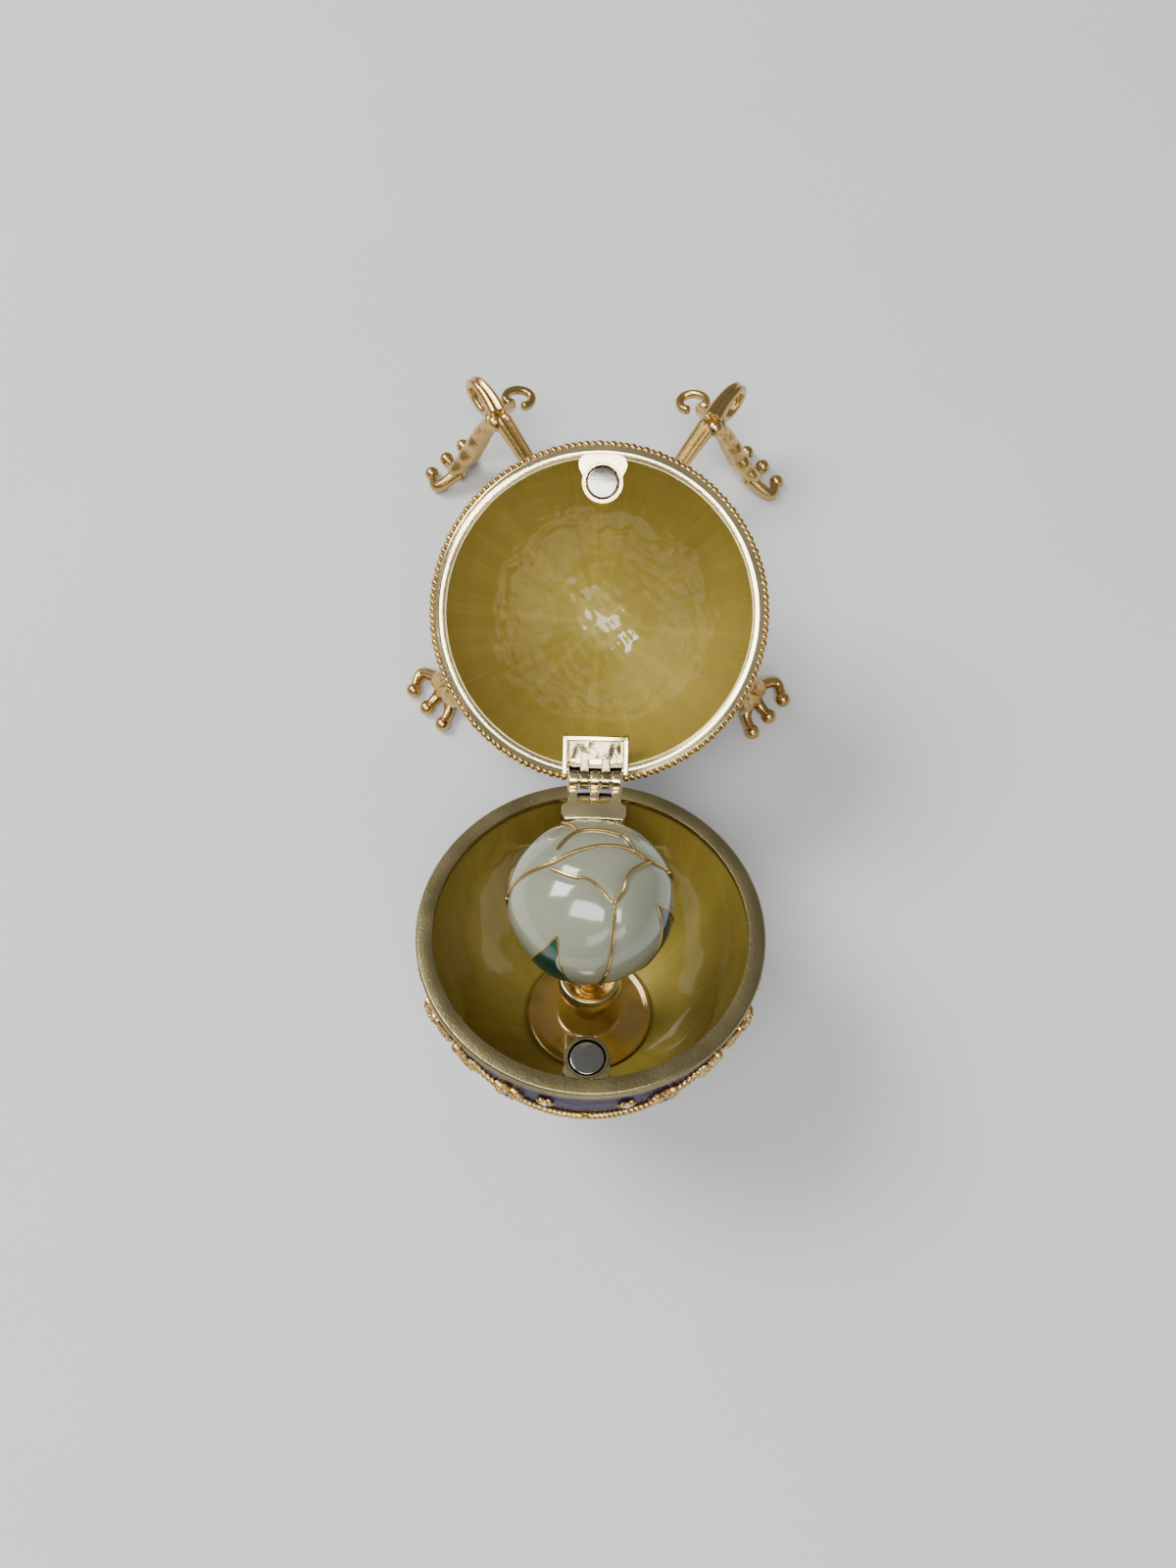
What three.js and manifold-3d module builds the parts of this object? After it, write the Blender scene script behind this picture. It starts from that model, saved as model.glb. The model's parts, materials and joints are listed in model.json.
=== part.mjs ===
// Jewelled egg trinket box, lying open, with its loose four-legged stand behind it.
// Millimetres, +Z up, +Y from the bowl towards the lid and the stand.
// Each half of the egg is made in its own frame: rim plane at z = 0, opening up, hinge towards +Y.
import * as THREE from 'three';
import { mergeVertices } from 'three/addons/utils/BufferGeometryUtils.js';
import Module from 'manifold-3d';

const wasm = await Module();
wasm.setup();

// Driving sizes
const EGG = 28;                        // outer radius of the lid's beaded edge
const PLAY = 0.3;                      // free space between pieces that touch
const BOWL_TILT = 14;                  // degrees that the bowl leans back, towards the hinge
const LID_TILT = 26;                   // degrees that the open lid leans forward
const HINGE_ARM = 0.973 * EGG;         // from the axis of either half to the hinge pin
const BOWL_RISE = 1.445 * EGG;         // centre of the bowl's rim above the table
const STAND_REACH = 2.929 * EGG;       // from the bowl's rim centre to the stand's axis
const RIM_DROP = 0.2;                  // each rim lies this far below the hinge plane
const ROUND = 28;                      // segments round the egg

const BOWL = {
  rim: 0.957 * EGG, rimInner: 0.864 * EGG, wall: 0.945 * EGG, wallInner: 0.893 * EGG,
  depth: 1.28 * EGG, depthInner: 1.22 * EGG, taper: 0, bead: 0,
};
const LID = {
  rim: 0.968 * EGG, rimInner: 0.905 * EGG, wall: 0.955 * EGG, wallInner: 0.9 * EGG,
  depth: 1.25 * EGG, depthInner: 1.19 * EGG, taper: 0.08, bead: 0.032 * EGG,
};
const FOOT = { radius: 0.3 * EGG, top: 1.2 * EGG, sole: 1.414 * EGG };
const MAGNET = { radius: 2.5, height: 2, boss: 3.4, bossDepth: 5.5, reach: 0.755 * EGG };
const POCKET = { half: 4.6, wall: 0.95, reach: 0.745 * EGG, floor: 3.3, depth: 5.2, shelf: 1.5 };
const HINGE = { width: 8.6, count: 5, radius: 1.5, pin: 0.65, plate: 0.7, lidPlate: 2.1 };
const BUD = { radius: 0.45 * EGG, half: 0.45 * EGG, rise: 0.25 * EGG };
const CUP = { radius: 0.186 * EGG, top: 0.6 * EGG, bottom: 0.77 * EGG, wall: 0.9 };
const BASE = { radius: 0.385 * EGG, depth: 1.105 * EGG, neck: 0.1 * EGG };
const TOE_BALL = 0.054;                // radius of a toe's ball, in egg radii
const SWAG = { count: 4, top: 0.14, sag: 0.3, half: 41, tube: 0.034, rosette: 26 };

const rad = THREE.MathUtils.degToRad;
const v3 = (x, y, z) => new THREE.Vector3(x, y, z);
const range = (count) => Array.from({ length: count }, (_, i) => i);

// ---- solids ----

function solid(geometry) {
  const bare = geometry.clone();
  bare.deleteAttribute('normal');
  bare.deleteAttribute('uv');
  const merged = mergeVertices(bare.index ? bare : mergeVertices(bare), 1e-4);
  const index = Array.from(merged.index.array);
  const faces = [];
  for (let i = 0; i < index.length; i += 3) {
    const [a, b, c] = index.slice(i, i + 3);
    if (a !== b && b !== c && c !== a) faces.push(a, b, c);
  }
  return new wasm.Manifold(new wasm.Mesh({
    numProp: 3,
    vertProperties: new Float32Array(merged.attributes.position.array),
    triVerts: new Uint32Array(faces),
  }));
}

function unite(solids) {
  return solids.reduce((whole, piece) => whole.add(piece));
}

function geometryOf(body) {
  const mesh = body.getMesh();
  const geometry = new THREE.BufferGeometry();
  geometry.setAttribute('position', new THREE.BufferAttribute(mesh.vertProperties, 3));
  geometry.setIndex(new THREE.BufferAttribute(mesh.triVerts, 1));
  geometry.computeVertexNormals();
  return geometry;
}

function box(low, high) {
  const size = v3().subVectors(high, low);
  const middle = v3().addVectors(low, high).multiplyScalar(0.5);
  return solid(new THREE.BoxGeometry(size.x, size.y, size.z).translate(middle.x, middle.y, middle.z));
}

function disc(radius, low, high, x = 0, y = 0, sides = 20) {
  const geometry = new THREE.CylinderGeometry(radius, radius, high - low, sides);
  return solid(geometry.rotateX(Math.PI / 2).translate(x, y, (low + high) / 2));
}

// A profile of [radius, z] pairs turned about Z.
function turned(profile, sides = ROUND) {
  const points = profile.map(([r, z]) => new THREE.Vector2(r, z));
  return solid(new THREE.LatheGeometry(points, sides).rotateX(Math.PI / 2));
}

// A round or flat bar bent along a smooth curve, with half widths a and b given along its length.
function limb(points, a, b = a, sides = 6, steps = 8) {
  const curve = new THREE.CatmullRomCurve3(points, false, 'centripetal');
  const frames = curve.computeFrenetFrames(steps, false);
  const geometry = new THREE.CylinderGeometry(1, 1, 1, sides, steps, false);
  const position = geometry.attributes.position;
  const along = (widths, t) => {
    const place = t * (widths.length - 1);
    const first = Math.min(Math.floor(place), widths.length - 2);
    return THREE.MathUtils.lerp(widths[first], widths[first + 1], place - first);
  };
  for (let i = 0; i < position.count; i += 1) {
    const step = Math.round((0.5 - position.getY(i)) * steps);
    const point = curve.getPointAt(step / steps);
    point.addScaledVector(frames.normals[step], position.getX(i) * along(a, step / steps));
    point.addScaledVector(frames.binormals[step], position.getZ(i) * along(b, step / steps));
    position.setXYZ(i, point.x, point.y, point.z);
  }
  return solid(geometry);
}

function ball(centre, radius) {
  return solid(new THREE.SphereGeometry(radius, 7, 4).translate(centre.x, centre.y, centre.z));
}

// ---- the two halves of the egg ----

// Quarter egg curve: r = wall cos a (1 - taper sin a), z = -depth sin a, from the rim to the pole.
function eggRadius(wall, depth, taper, down) {
  const sine = Math.min(down / depth, 1);
  return wall * Math.sqrt(1 - sine * sine) * (1 - taper * sine);
}

function eggCurve(wall, depth, taper, top, steps) {
  const start = Math.asin(top / depth);
  return range(steps + 1).map((i) => {
    const angle = start + (Math.PI / 2 - start) * i / steps;
    const down = depth * Math.sin(angle);
    return [i === steps ? 0 : eggRadius(wall, depth, taper, down), -down];
  });
}

function shellOutline(half, steps = 6) {
  const lip = 0.075 * EGG;
  const flange = 1.3;
  const outer = eggCurve(half.wall, half.depth, half.taper, lip, steps).reverse();
  const inner = eggCurve(half.wallInner, half.depthInner, half.taper, flange, steps);
  const bead = half.bead ? range(4).map((i) => {
    const angle = rad(-67.5 + 45 * i);
    return [half.rim + half.bead * Math.cos(angle), -lip / 2 - 0.1 + half.bead * Math.sin(angle)];
  }) : [];
  return [...outer, [half.rim, -lip], ...bead, [half.rim, -RIM_DROP], [half.rimInner, -RIM_DROP],
    [half.rimInner, -flange], ...inner];
}

function onWall(half, turn, down, proud = 0) {
  const radius = eggRadius(half.wall, half.depth, half.taper, down) + proud;
  return v3(radius * Math.sin(rad(turn)), -radius * Math.cos(rad(turn)), -down);
}

// Garlands hung round the wall between upright drops, with two rosettes on each garland.
function garlands(half) {
  const tube = SWAG.tube * EGG;
  const span = 360 / SWAG.count;
  return unite(range(SWAG.count).flatMap((i) => {
    const middle = i * span;
    const hang = (turn) => (SWAG.top + SWAG.sag * Math.cos(rad(90 * turn / SWAG.half))) * EGG;
    const swag = range(7).map((k) => {
      const turn = SWAG.half * (k / 3 - 1);
      return onWall(half, middle + turn, hang(turn));
    });
    const drop = [0.1, 0.3, 0.52].map((down) => onWall(half, middle + span / 2, down * EGG));
    const rosettes = [-1, 1].map((side) => {
      const centre = onWall(half, middle + side * SWAG.rosette, 0.25 * EGG, 0.1);
      const out = onWall(half, middle + side * SWAG.rosette, 0.25 * EGG, 1.3).sub(centre);
      return limb([centre.clone().addScaledVector(out, -1), centre, centre.clone().add(out)],
        [1.7, 2, 1.2], [1.7, 2, 1.2], 5, 2);
    });
    return [limb(swag, [tube, 1.25 * tube, 1.4 * tube, 1.25 * tube, tube], undefined, 4, 7),
      limb(drop, [1.1 * tube, 1.4 * tube, 0.6 * tube], undefined, 4, 2), ...rosettes];
  }));
}

function eggHalf(half, hasFrame) {
  const outline = turned(shellOutline(half));
  const envelope = turned([...eggCurve(half.wall - 0.2, half.depth, half.taper, 1, 9).reverse(),
    [half.wall - 0.2, -RIM_DROP], [0, -RIM_DROP]]);
  const boss = disc(MAGNET.boss, -MAGNET.bossDepth, -RIM_DROP, 0, -MAGNET.reach);
  const bridge = box(v3(-2.6, -half.wallInner - 0.5, -MAGNET.bossDepth), v3(2.6, -MAGNET.reach, -RIM_DROP));
  const frameEnd = POCKET.reach - POCKET.wall;
  const block = box(v3(-POCKET.half - POCKET.wall, frameEnd, -POCKET.depth),
    v3(POCKET.half + POCKET.wall, EGG, hasFrame ? -RIM_DROP : -POCKET.shelf));
  const pocketFloor = hasFrame ? -POCKET.floor : -POCKET.shelf;
  const pocketEnd = hasFrame ? POCKET.reach : HINGE_ARM - 4.2;
  const pocket = box(v3(-POCKET.half, pocketEnd, pocketFloor), v3(POCKET.half, EGG + 4, 2));
  const barrelRoom = solid(new THREE.CylinderGeometry(2.1, 2.1, 2 * POCKET.half, 16)
    .rotateZ(Math.PI / 2).translate(0, HINGE_ARM, 0));
  const recess = disc(MAGNET.radius + PLAY, -MAGNET.height - 2 * PLAY - RIM_DROP, 1, 0, -MAGNET.reach);
  return outline.add(garlands(half)).add(unite([boss, bridge, block]).intersect(envelope))
    .subtract(pocket).subtract(barrelRoom).subtract(recess);
}

function foot() {
  const profile = [[0, -FOOT.sole], [FOOT.radius, -FOOT.sole], [FOOT.radius, -FOOT.sole + 1.2],
    [0.8 * FOOT.radius, -FOOT.sole + 2], [0.9 * FOOT.radius, -FOOT.top], [0, -FOOT.top]];
  const room = turned([...eggCurve(BOWL.wall + PLAY, BOWL.depth + PLAY, 0, 0.5, 9).reverse(), [0, -0.5]]);
  return turned(profile, 24).subtract(room);
}

// ---- hinge ----

function knuckleSpan(i) {
  const pitch = (HINGE.width + PLAY) / HINGE.count;
  const low = -HINGE.width / 2 + i * pitch;
  return [low, low + pitch - PLAY];
}

function knuckle(i, plateTop) {
  const [low, high] = knuckleSpan(i);
  const barrel = new THREE.CylinderGeometry(HINGE.radius, HINGE.radius, high - low, 12);
  const arm = box(v3(low, HINGE_ARM - 3.6, plateTop - HINGE.plate), v3(high, HINGE_ARM, plateTop));
  const whole = solid(barrel.rotateZ(Math.PI / 2).translate((low + high) / 2, HINGE_ARM, 0));
  const neck = box(v3(low, HINGE_ARM - 0.7, plateTop - HINGE.plate), v3(high, HINGE_ARM + 0.7, 0));
  return unite([whole, arm, neck]);
}

function hingeLeaf(knuckles, plateTop, plateHalf, plateEnd) {
  const plate = box(v3(-plateHalf, plateEnd, plateTop - HINGE.plate),
    v3(plateHalf, HINGE_ARM - 3.2, plateTop));
  const hole = solid(new THREE.CylinderGeometry(HINGE.pin + PLAY, HINGE.pin + PLAY, 12, 10)
    .rotateZ(Math.PI / 2).translate(0, HINGE_ARM, 0));
  return unite([plate, ...knuckles.map((i) => knuckle(i, plateTop))]).subtract(hole);
}

function hingePin() {
  return solid(new THREE.CylinderGeometry(HINGE.pin, HINGE.pin, HINGE.width, 10)
    .rotateZ(Math.PI / 2).translate(0, HINGE_ARM, 0));
}

// ---- rosebud on its base ----

function rosebud() {
  const profile = range(11).map((i) => {
    const angle = Math.PI * (i / 10 - 0.5);
    const squash = 1 + 0.1 * Math.cos(angle) * Math.sin(angle);
    const radius = BUD.radius * Math.cos(angle) * squash;
    return [i % 10 === 0 ? 0 : radius, BUD.rise + BUD.half * Math.sin(angle)];
  });
  return turned(profile, 24);
}

function budStem() {
  return disc(0.07 * EGG, -CUP.bottom + CUP.wall + PLAY, BUD.rise - BUD.half - PLAY, 0, 0, 12);
}

function budCup() {
  const { radius, top, bottom, wall } = CUP;
  return turned([[0, -bottom], [0.8 * radius, -bottom], [radius, -bottom + 1.4], [radius, -top - 0.5],
    [radius - 0.4, -top], [radius - wall, -top], [radius - wall, -bottom + wall + 0.6],
    [0, -bottom + wall]], 20);
}

function budBase() {
  const { radius, depth, neck } = BASE;
  const neckTop = -CUP.bottom - PLAY;
  return turned([[0, -depth - 0.9], [0.75 * radius, -depth - 0.5], [radius, -depth + 0.5],
    [0.95 * radius, -depth + 1.1], [0.5 * radius, -depth + 1.3], [neck, -depth + 2.6],
    [neck, neckTop], [0, neckTop]], 24);
}

// ---- stand ----

// One leg in the stand's frame. Points are [radius, turn in degrees, height], radius and height in
// egg radii.
function standLeg() {
  const at = ([r, turn, z]) => v3(r * Math.cos(rad(turn)), r * Math.sin(rad(turn)), z)
    .multiplyScalar(EGG);
  const widths = (list) => list.map((w) => w * EGG);
  const knee = [1.19, 51, 0.75];
  const scrollCurl = range(9).map((i) => {
    const angle = rad(118 - 46 * i);
    const reach = 0.155 - 0.0125 * i;
    return [1.43 + 1.15 * reach * Math.cos(angle), 52, 0.64 + reach * Math.sin(angle)];
  });
  const sideCurl = range(8).map((i) => {
    const angle = rad(215 - 45 * i);
    return [1.34 + 0.085 * Math.sin(angle), 62 + 4.2 * Math.cos(angle), 0.6 - 0.03 * Math.cos(angle)];
  });
  const stem = limb([[0.3, 52, 0.25], [0.62, 52, 0.4], [0.92, 51.7, 0.58], knee].map(at),
    widths([0.05, 0.045, 0.055, 0.07]), widths([0.05, 0.05, 0.06, 0.07]), 5, 4);
  const scroll = limb([knee, ...scrollCurl].map(at), widths([0.07, 0.05, 0.045, 0.04, 0.04, 0.03]),
    widths([0.07, 0.07, 0.065, 0.055, 0.05, 0.035]), 5, 11);
  const side = limb([knee, ...sideCurl].map(at), widths([0.05, 0.035, 0.035, 0.028]), undefined, 5, 8);
  const shank = limb([[1.2, 50, 0.74], [1.3, 47.5, 0.5], [1.37, 42.5, 0.24], [1.43, 38.5, 0.09]].map(at),
    widths([0.05, 0.055, 0.06, 0.05]), widths([0.06, 0.08, 0.1, 0.1]), 6, 4);
  const toes = [34.7, 40.8, 46.9].flatMap((turn, i) => [
    limb([[1.4, 38.5, 0.12], [1.47, [31.8, 40, 45][i], 0.05], [1.585, turn, TOE_BALL]].map(at),
      widths([0.045, 0.035, 0.03]), undefined, 5, 2),
    ball(at([1.59, turn, TOE_BALL]), TOE_BALL * EGG),
  ]);
  const ringRoom = disc(0.317 * EGG, 0.18 * EGG, 0.32 * EGG, 0, 0, 24);
  return unite([stem, scroll, side, shank, ...toes]).subtract(ringRoom);
}

function standRing() {
  const ring = new THREE.TorusGeometry(0.27 * EGG, 0.035 * EGG, 6, 24).scale(1, 1, 1.4);
  return solid(ring.translate(0, 0, 0.25 * EGG));
}

// The four legs are mirror images of one another.
function standLegs() {
  const leg = standLeg();
  return [['rear_left', -1, 1], ['rear_right', 1, 1], ['front_left', -1, -1], ['front_right', 1, -1]]
    .map(([place, flipX, flipY]) => [place, leg.scale([flipX, flipY, 1])]);
}

// ---- looks of the bare metal parts ----

const GOLD = { color: 0xc9a25a, roughness: 0.3, metalness: 1 };
const PALE_GOLD = { color: 0xb8ab84, roughness: 0.5, metalness: 1 };
const STEEL = { color: 0x74736e, roughness: 0.4, metalness: 1 };
const WHITE_ENAMEL = { color: 0xc4c6bc, roughness: 0.15, metalness: 0 };
const AMBER_ENAMEL = { color: 0x8a5c14, roughness: 0.2, metalness: 0.3 };
const NAVY_ENAMEL = { color: 0x171a3a, roughness: 0.2, metalness: 0.2 };

function piece(name, body, look) {
  const mesh = new THREE.Mesh(geometryOf(body), new THREE.MeshStandardMaterial(look));
  mesh.name = name;
  return mesh;
}

// ---- assembly ----

const tilt = rad(BOWL_TILT);
const bowl = new THREE.Group();
bowl.rotation.x = -tilt;
bowl.position.set(0, 0, BOWL_RISE);
bowl.add(
  piece('bowl_shell', eggHalf(BOWL, false), NAVY_ENAMEL),
  piece('bowl_foot', foot(), GOLD),
  piece('bowl_magnet', disc(MAGNET.radius, -MAGNET.height - PLAY - RIM_DROP, -PLAY, 0, -MAGNET.reach), STEEL),
  piece('bowl_hinge_leaf', hingeLeaf([0, 2, 4], -HINGE.radius + HINGE.plate + 0.3, 4.25, 20.6), PALE_GOLD),
  piece('hinge_pin', hingePin(), PALE_GOLD),
  piece('rosebud', rosebud(), WHITE_ENAMEL),
  piece('bud_stem', budStem(), GOLD),
  piece('bud_cup', budCup(), GOLD),
  piece('bud_base', budBase(), AMBER_ENAMEL),
);

const lid = new THREE.Group();
const lidTurn = new THREE.Group();
lidTurn.rotation.z = Math.PI;
lid.rotation.x = rad(LID_TILT);
lid.position.set(0, HINGE_ARM * (Math.cos(tilt) + Math.cos(rad(LID_TILT))),
  BOWL_RISE + HINGE_ARM * (Math.sin(rad(LID_TILT)) - Math.sin(tilt)));
lidTurn.add(
  piece('lid_shell', eggHalf(LID, true), NAVY_ENAMEL),
  piece('lid_magnet', disc(MAGNET.radius, -MAGNET.height - PLAY - RIM_DROP, -PLAY, 0, -MAGNET.reach), STEEL),
  piece('lid_hinge_leaf', hingeLeaf([1, 3], -HINGE.lidPlate, 4.25, 21.2), PALE_GOLD),
);
lid.add(lidTurn);

const stand = new THREE.Group();
stand.position.set(0, STAND_REACH, 0);
stand.add(piece('stand_ring', standRing(), GOLD));
standLegs().forEach(([place, leg]) => stand.add(piece(`stand_leg_${place}`, leg, GOLD)));

const egg = new THREE.Group();
egg.add(bowl, lid, stand);
egg.updateMatrixWorld(true);
const extent = new THREE.Box3().setFromObject(egg, true);
egg.position.set(-(extent.min.x + extent.max.x) / 2, -(extent.min.y + extent.max.y) / 2, -extent.min.z);
egg.updateMatrixWorld(true);

export default egg;
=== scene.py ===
import json
import math

import bmesh
import bpy
import numpy as np
from bpy.props import FloatProperty, FloatVectorProperty, IntProperty, PointerProperty
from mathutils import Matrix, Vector


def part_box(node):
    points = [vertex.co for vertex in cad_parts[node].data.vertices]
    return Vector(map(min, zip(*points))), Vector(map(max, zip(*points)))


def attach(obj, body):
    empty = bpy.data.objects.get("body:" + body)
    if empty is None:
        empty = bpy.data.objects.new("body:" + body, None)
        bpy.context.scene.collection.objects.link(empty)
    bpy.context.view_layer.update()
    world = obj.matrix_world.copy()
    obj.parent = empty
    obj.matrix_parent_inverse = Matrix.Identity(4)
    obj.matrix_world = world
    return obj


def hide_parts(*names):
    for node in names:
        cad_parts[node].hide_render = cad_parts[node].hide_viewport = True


bl_info = {
    "name": "Jewelled Egg Trinket Box",
    "version": (1, 0, 0),
    "blender": (4, 5, 0),
    "location": "3D View > Sidebar > Egg Box",
    "description": "Builds an open enamelled egg box with a rosebud inside and a loose stand",
    "category": "Add Mesh",
}

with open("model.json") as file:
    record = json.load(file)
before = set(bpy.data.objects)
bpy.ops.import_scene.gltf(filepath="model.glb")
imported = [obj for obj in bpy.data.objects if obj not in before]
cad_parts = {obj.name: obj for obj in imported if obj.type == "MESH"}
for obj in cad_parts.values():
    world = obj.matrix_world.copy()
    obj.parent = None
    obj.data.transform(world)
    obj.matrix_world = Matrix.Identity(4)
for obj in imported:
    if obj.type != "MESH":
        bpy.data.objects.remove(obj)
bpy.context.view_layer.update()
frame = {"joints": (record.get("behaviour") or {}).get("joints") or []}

EGG = 0.028  # outer radius of the lid's beaded edge, in metres
MM = 0.001
HINGE_ARM = 0.973 * EGG  # from the axis of either half to the hinge pin
HINGE_PIN = np.array(frame["joints"][0]["pos_m"])
BOWL_TILT = math.radians(-14)
LID_TILT = math.radians(26)
RIM_DROP = 0.2 * MM
LIP = 0.075 * EGG  # height of either rim band
NOTCH = 4.6 * MM  # half width of the gap that the hinge fills in both rims
HINGE_HALF = 4.3 * MM
KNUCKLES = 5
MAGNET_REACH = 0.755 * EGG  # from the axis of either half to its magnet
STAND = np.array([sum(corner) / 2 for corner in zip(*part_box("stand_ring"))]) * (1, 1, 0)
LEG_TURN = 52  # degrees from the stand's X axis to each leg's stem

X, Y, Z = np.eye(3)


# ---- shapes as grids of points ----


def turn_about(axis, angle):
    """Rotation matrix about one of the three axes, by the right-hand rule."""
    a, b = [i for i in range(3) if not axis[i]]
    matrix = np.eye(3)
    matrix[a, a] = matrix[b, b] = math.cos(angle)
    sign = -1 if axis[1] else 1
    matrix[a, b] = -sign * math.sin(angle)
    matrix[b, a] = sign * math.sin(angle)
    return matrix


def unit(vectors):
    """Vectors divided by their own lengths."""
    return vectors / np.maximum(np.linalg.norm(vectors, axis=-1, keepdims=True), 1e-12)


def smooth(low, high, value):
    """Eases from 0 at low to 1 at high: s = t t (3 - 2 t)."""
    t = np.clip((value - low) / (high - low), 0, 1)
    return t * t * (3 - 2 * t)


def soften(corners, radius, steps=4, closed=True):
    """Rounds each corner of an outline: the curve (1-t)(1-t) A + 2t(1-t) P + t t B between two
    points A and B that lie one radius before and after the corner P."""
    points = np.array(corners, float)
    before = np.roll(points, 1, axis=0) - points
    after = np.roll(points, -1, axis=0) - points
    reach = np.full(len(points), float(radius))
    if not closed:
        reach[[0, -1]] = 0
    spans = [np.linalg.norm(side, axis=1) for side in (before, after)]
    starts, ends = [
        points + side * (np.minimum(reach, 0.45 * span) / np.maximum(span, 1e-9))[:, None]
        for side, span in zip((before, after), spans)
    ]
    t = np.linspace(0, 1, steps)[None, :, None]
    curve = (1 - t) ** 2 * starts[:, None] + 2 * t * (1 - t) * points[:, None] + t**2 * ends[:, None]
    curve = curve.reshape(-1, points.shape[1])
    return np.vstack([curve, curve[:1]]) if closed else curve


def spin(outline, turns):
    """An outline of (radius, height) turned about Z: x = r sin t, y = -r cos t, z = h."""
    radius, height = np.asarray(outline, float).T
    return np.stack(
        [
            np.outer(np.sin(turns), radius),
            -np.outer(np.cos(turns), radius),
            np.broadcast_to(height, (len(turns), len(radius))),
        ],
        -1,
    )


def full_turn(count):
    """Angles once round, with the first repeated at the end so that the seam can be joined."""
    return np.linspace(0, 2 * np.pi, count + 1)


def curve_through(points, count):
    """A smooth curve through the points: cubic pieces whose slope at each point is half the step
    from the point before it to the point after it."""
    points = np.array(points, float)
    ghost = np.vstack([2 * points[0] - points[1], points, 2 * points[-1] - points[-2]])
    place = np.linspace(0, len(points) - 1, 40 * len(points))
    first = np.minimum(place.astype(int), len(points) - 2)
    t = (place - first)[:, None]
    a, b, c, d = (ghost[first + k] for k in range(4))
    fine = 0.5 * (2 * b + (c - a) * t + (2 * a - 5 * b + 4 * c - d) * t**2 + (3 * b - a - 3 * c + d) * t**3)
    length = np.concatenate([[0], np.cumsum(np.linalg.norm(np.diff(fine, axis=0), axis=1))])
    even = np.linspace(0, length[-1], count)
    return np.stack([np.interp(even, length, fine[:, k]) for k in range(points.shape[1])], -1)


def limb(path, wide, tall, side, around=20, groove=0.0, round_ends=0.06):
    """A bar along a path: centre + wide cos(a) across + tall sin(a) up, where across stays near the
    side direction. Both half widths shrink to nothing at the ends as quarter circles, and the
    groove is a fold along the top and the bottom."""
    count = len(path)
    along = unit(np.gradient(path, axis=0))
    across = unit(side - (along @ side)[:, None] * along)
    up = np.cross(along, across)
    share = np.linspace(0, 1, count)
    ends = np.clip(np.minimum(share, 1 - share) / round_ends, 0, 1)
    cap = np.sqrt(1 - (1 - ends) ** 2)
    widths = [np.interp(share, np.linspace(0, 1, len(w)), w) * cap for w in (wide, tall)]
    angle = full_turn(around)
    fold = 1 - groove * np.exp(-((np.cos(angle) / 0.28) ** 2))
    return (
        path[:, None]
        + (widths[0][:, None] * np.cos(angle))[..., None] * across[:, None]
        + (widths[1][:, None] * np.sin(angle) * fold)[..., None] * up[:, None]
    )


def thread(path, radius, around):
    """A thin round wire along a path."""
    return limb(path, [radius] * 2, [radius] * 2, Z + 0.01 * X, around, 0, 0.02)


def ball(centre, radius, around=20, down=12):
    """A sphere: radius (cos b sin a, cos b cos a, sin b) about a centre."""
    b = np.linspace(-np.pi / 2, np.pi / 2, down + 1)
    return np.asarray(centre) + spin(radius * np.stack([np.cos(b), np.sin(b)], -1), full_turn(around))


def loft(rows):
    """Closed outlines joined one after another, with both ends drawn in to their middles."""
    ends = [np.broadcast_to(rows[k, :-1].mean(0), rows[k].shape)[None] for k in (0, -1)]
    return np.concatenate([ends[0], rows, ends[1]])


def block(low, high, bevel=0.15 * MM):
    """A box with rounded edges: a softened rectangle in X and Z carried along Y, drawn in by one
    bevel at each end."""
    low, high = np.array(low, float), np.array(high, float)
    middle, half = (low + high) / 2, (high - low) / 2
    rows = []
    for y, inset in ((low[1], bevel), (low[1] + bevel, 0), (high[1] - bevel, 0), (high[1], bevel)):
        w, h = half[0] - inset, half[2] - inset
        x, z = soften([(-w, -h), (w, -h), (w, h), (-w, h)], bevel, 3).T
        rows.append(np.stack([middle[0] + x, np.full(len(x), y), middle[2] + z], -1))
    return loft(np.array(rows))


def leaf(length, width, height, around=12, steps=6):
    """A leaf lying along X: half width sin(pi v) to the power 0.8, with a crease down its middle."""
    v = np.linspace(0, 1, steps + 1)[None]
    angle = full_turn(around)[:, None]
    swell = np.maximum(np.sin(np.pi * v), 0)
    crease = 1 - 0.4 * np.exp(-((np.cos(angle) / 0.3) ** 2))
    return np.stack(
        np.broadcast_arrays(
            length * v,
            width * swell**0.8 * np.cos(angle),
            height * swell**0.6 * np.sin(angle) * crease,
        ),
        -1,
    )


def stamp(shape, places, along, out, scale=1.0):
    """Copies a shape to many places: place + scale (x along + y (out cross along) + z out)."""
    places, along, out = np.broadcast_arrays(*(np.atleast_2d(v) for v in (places, along, out)))
    side = np.cross(out, along)
    scale = np.broadcast_to(scale, len(places))[:, None, None, None]
    return places[:, None, None] + scale * (
        shape[None, ..., :1] * along[:, None, None]
        + shape[None, ..., 1:2] * side[:, None, None]
        + shape[None, ..., 2:] * out[:, None, None]
    )


def waves(points, count, shortest, longest, seed):
    """Smooth random height, about -1 to 1: the sum of plane waves sin(k . p + phase) with seeded
    directions and wavelengths."""
    source = np.random.default_rng(seed)
    directions = unit(source.normal(size=(count, 3)))
    lengths = source.uniform(shortest, longest, count)
    phases = source.uniform(0, 2 * np.pi, count)
    total = np.zeros(points.shape[:-1])
    for direction, length, phase in zip(directions, lengths, phases):
        total += np.sin(points @ direction * (2 * np.pi / length) + phase)
    return total / math.sqrt(count)


# ---- the two halves of the egg ----


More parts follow.
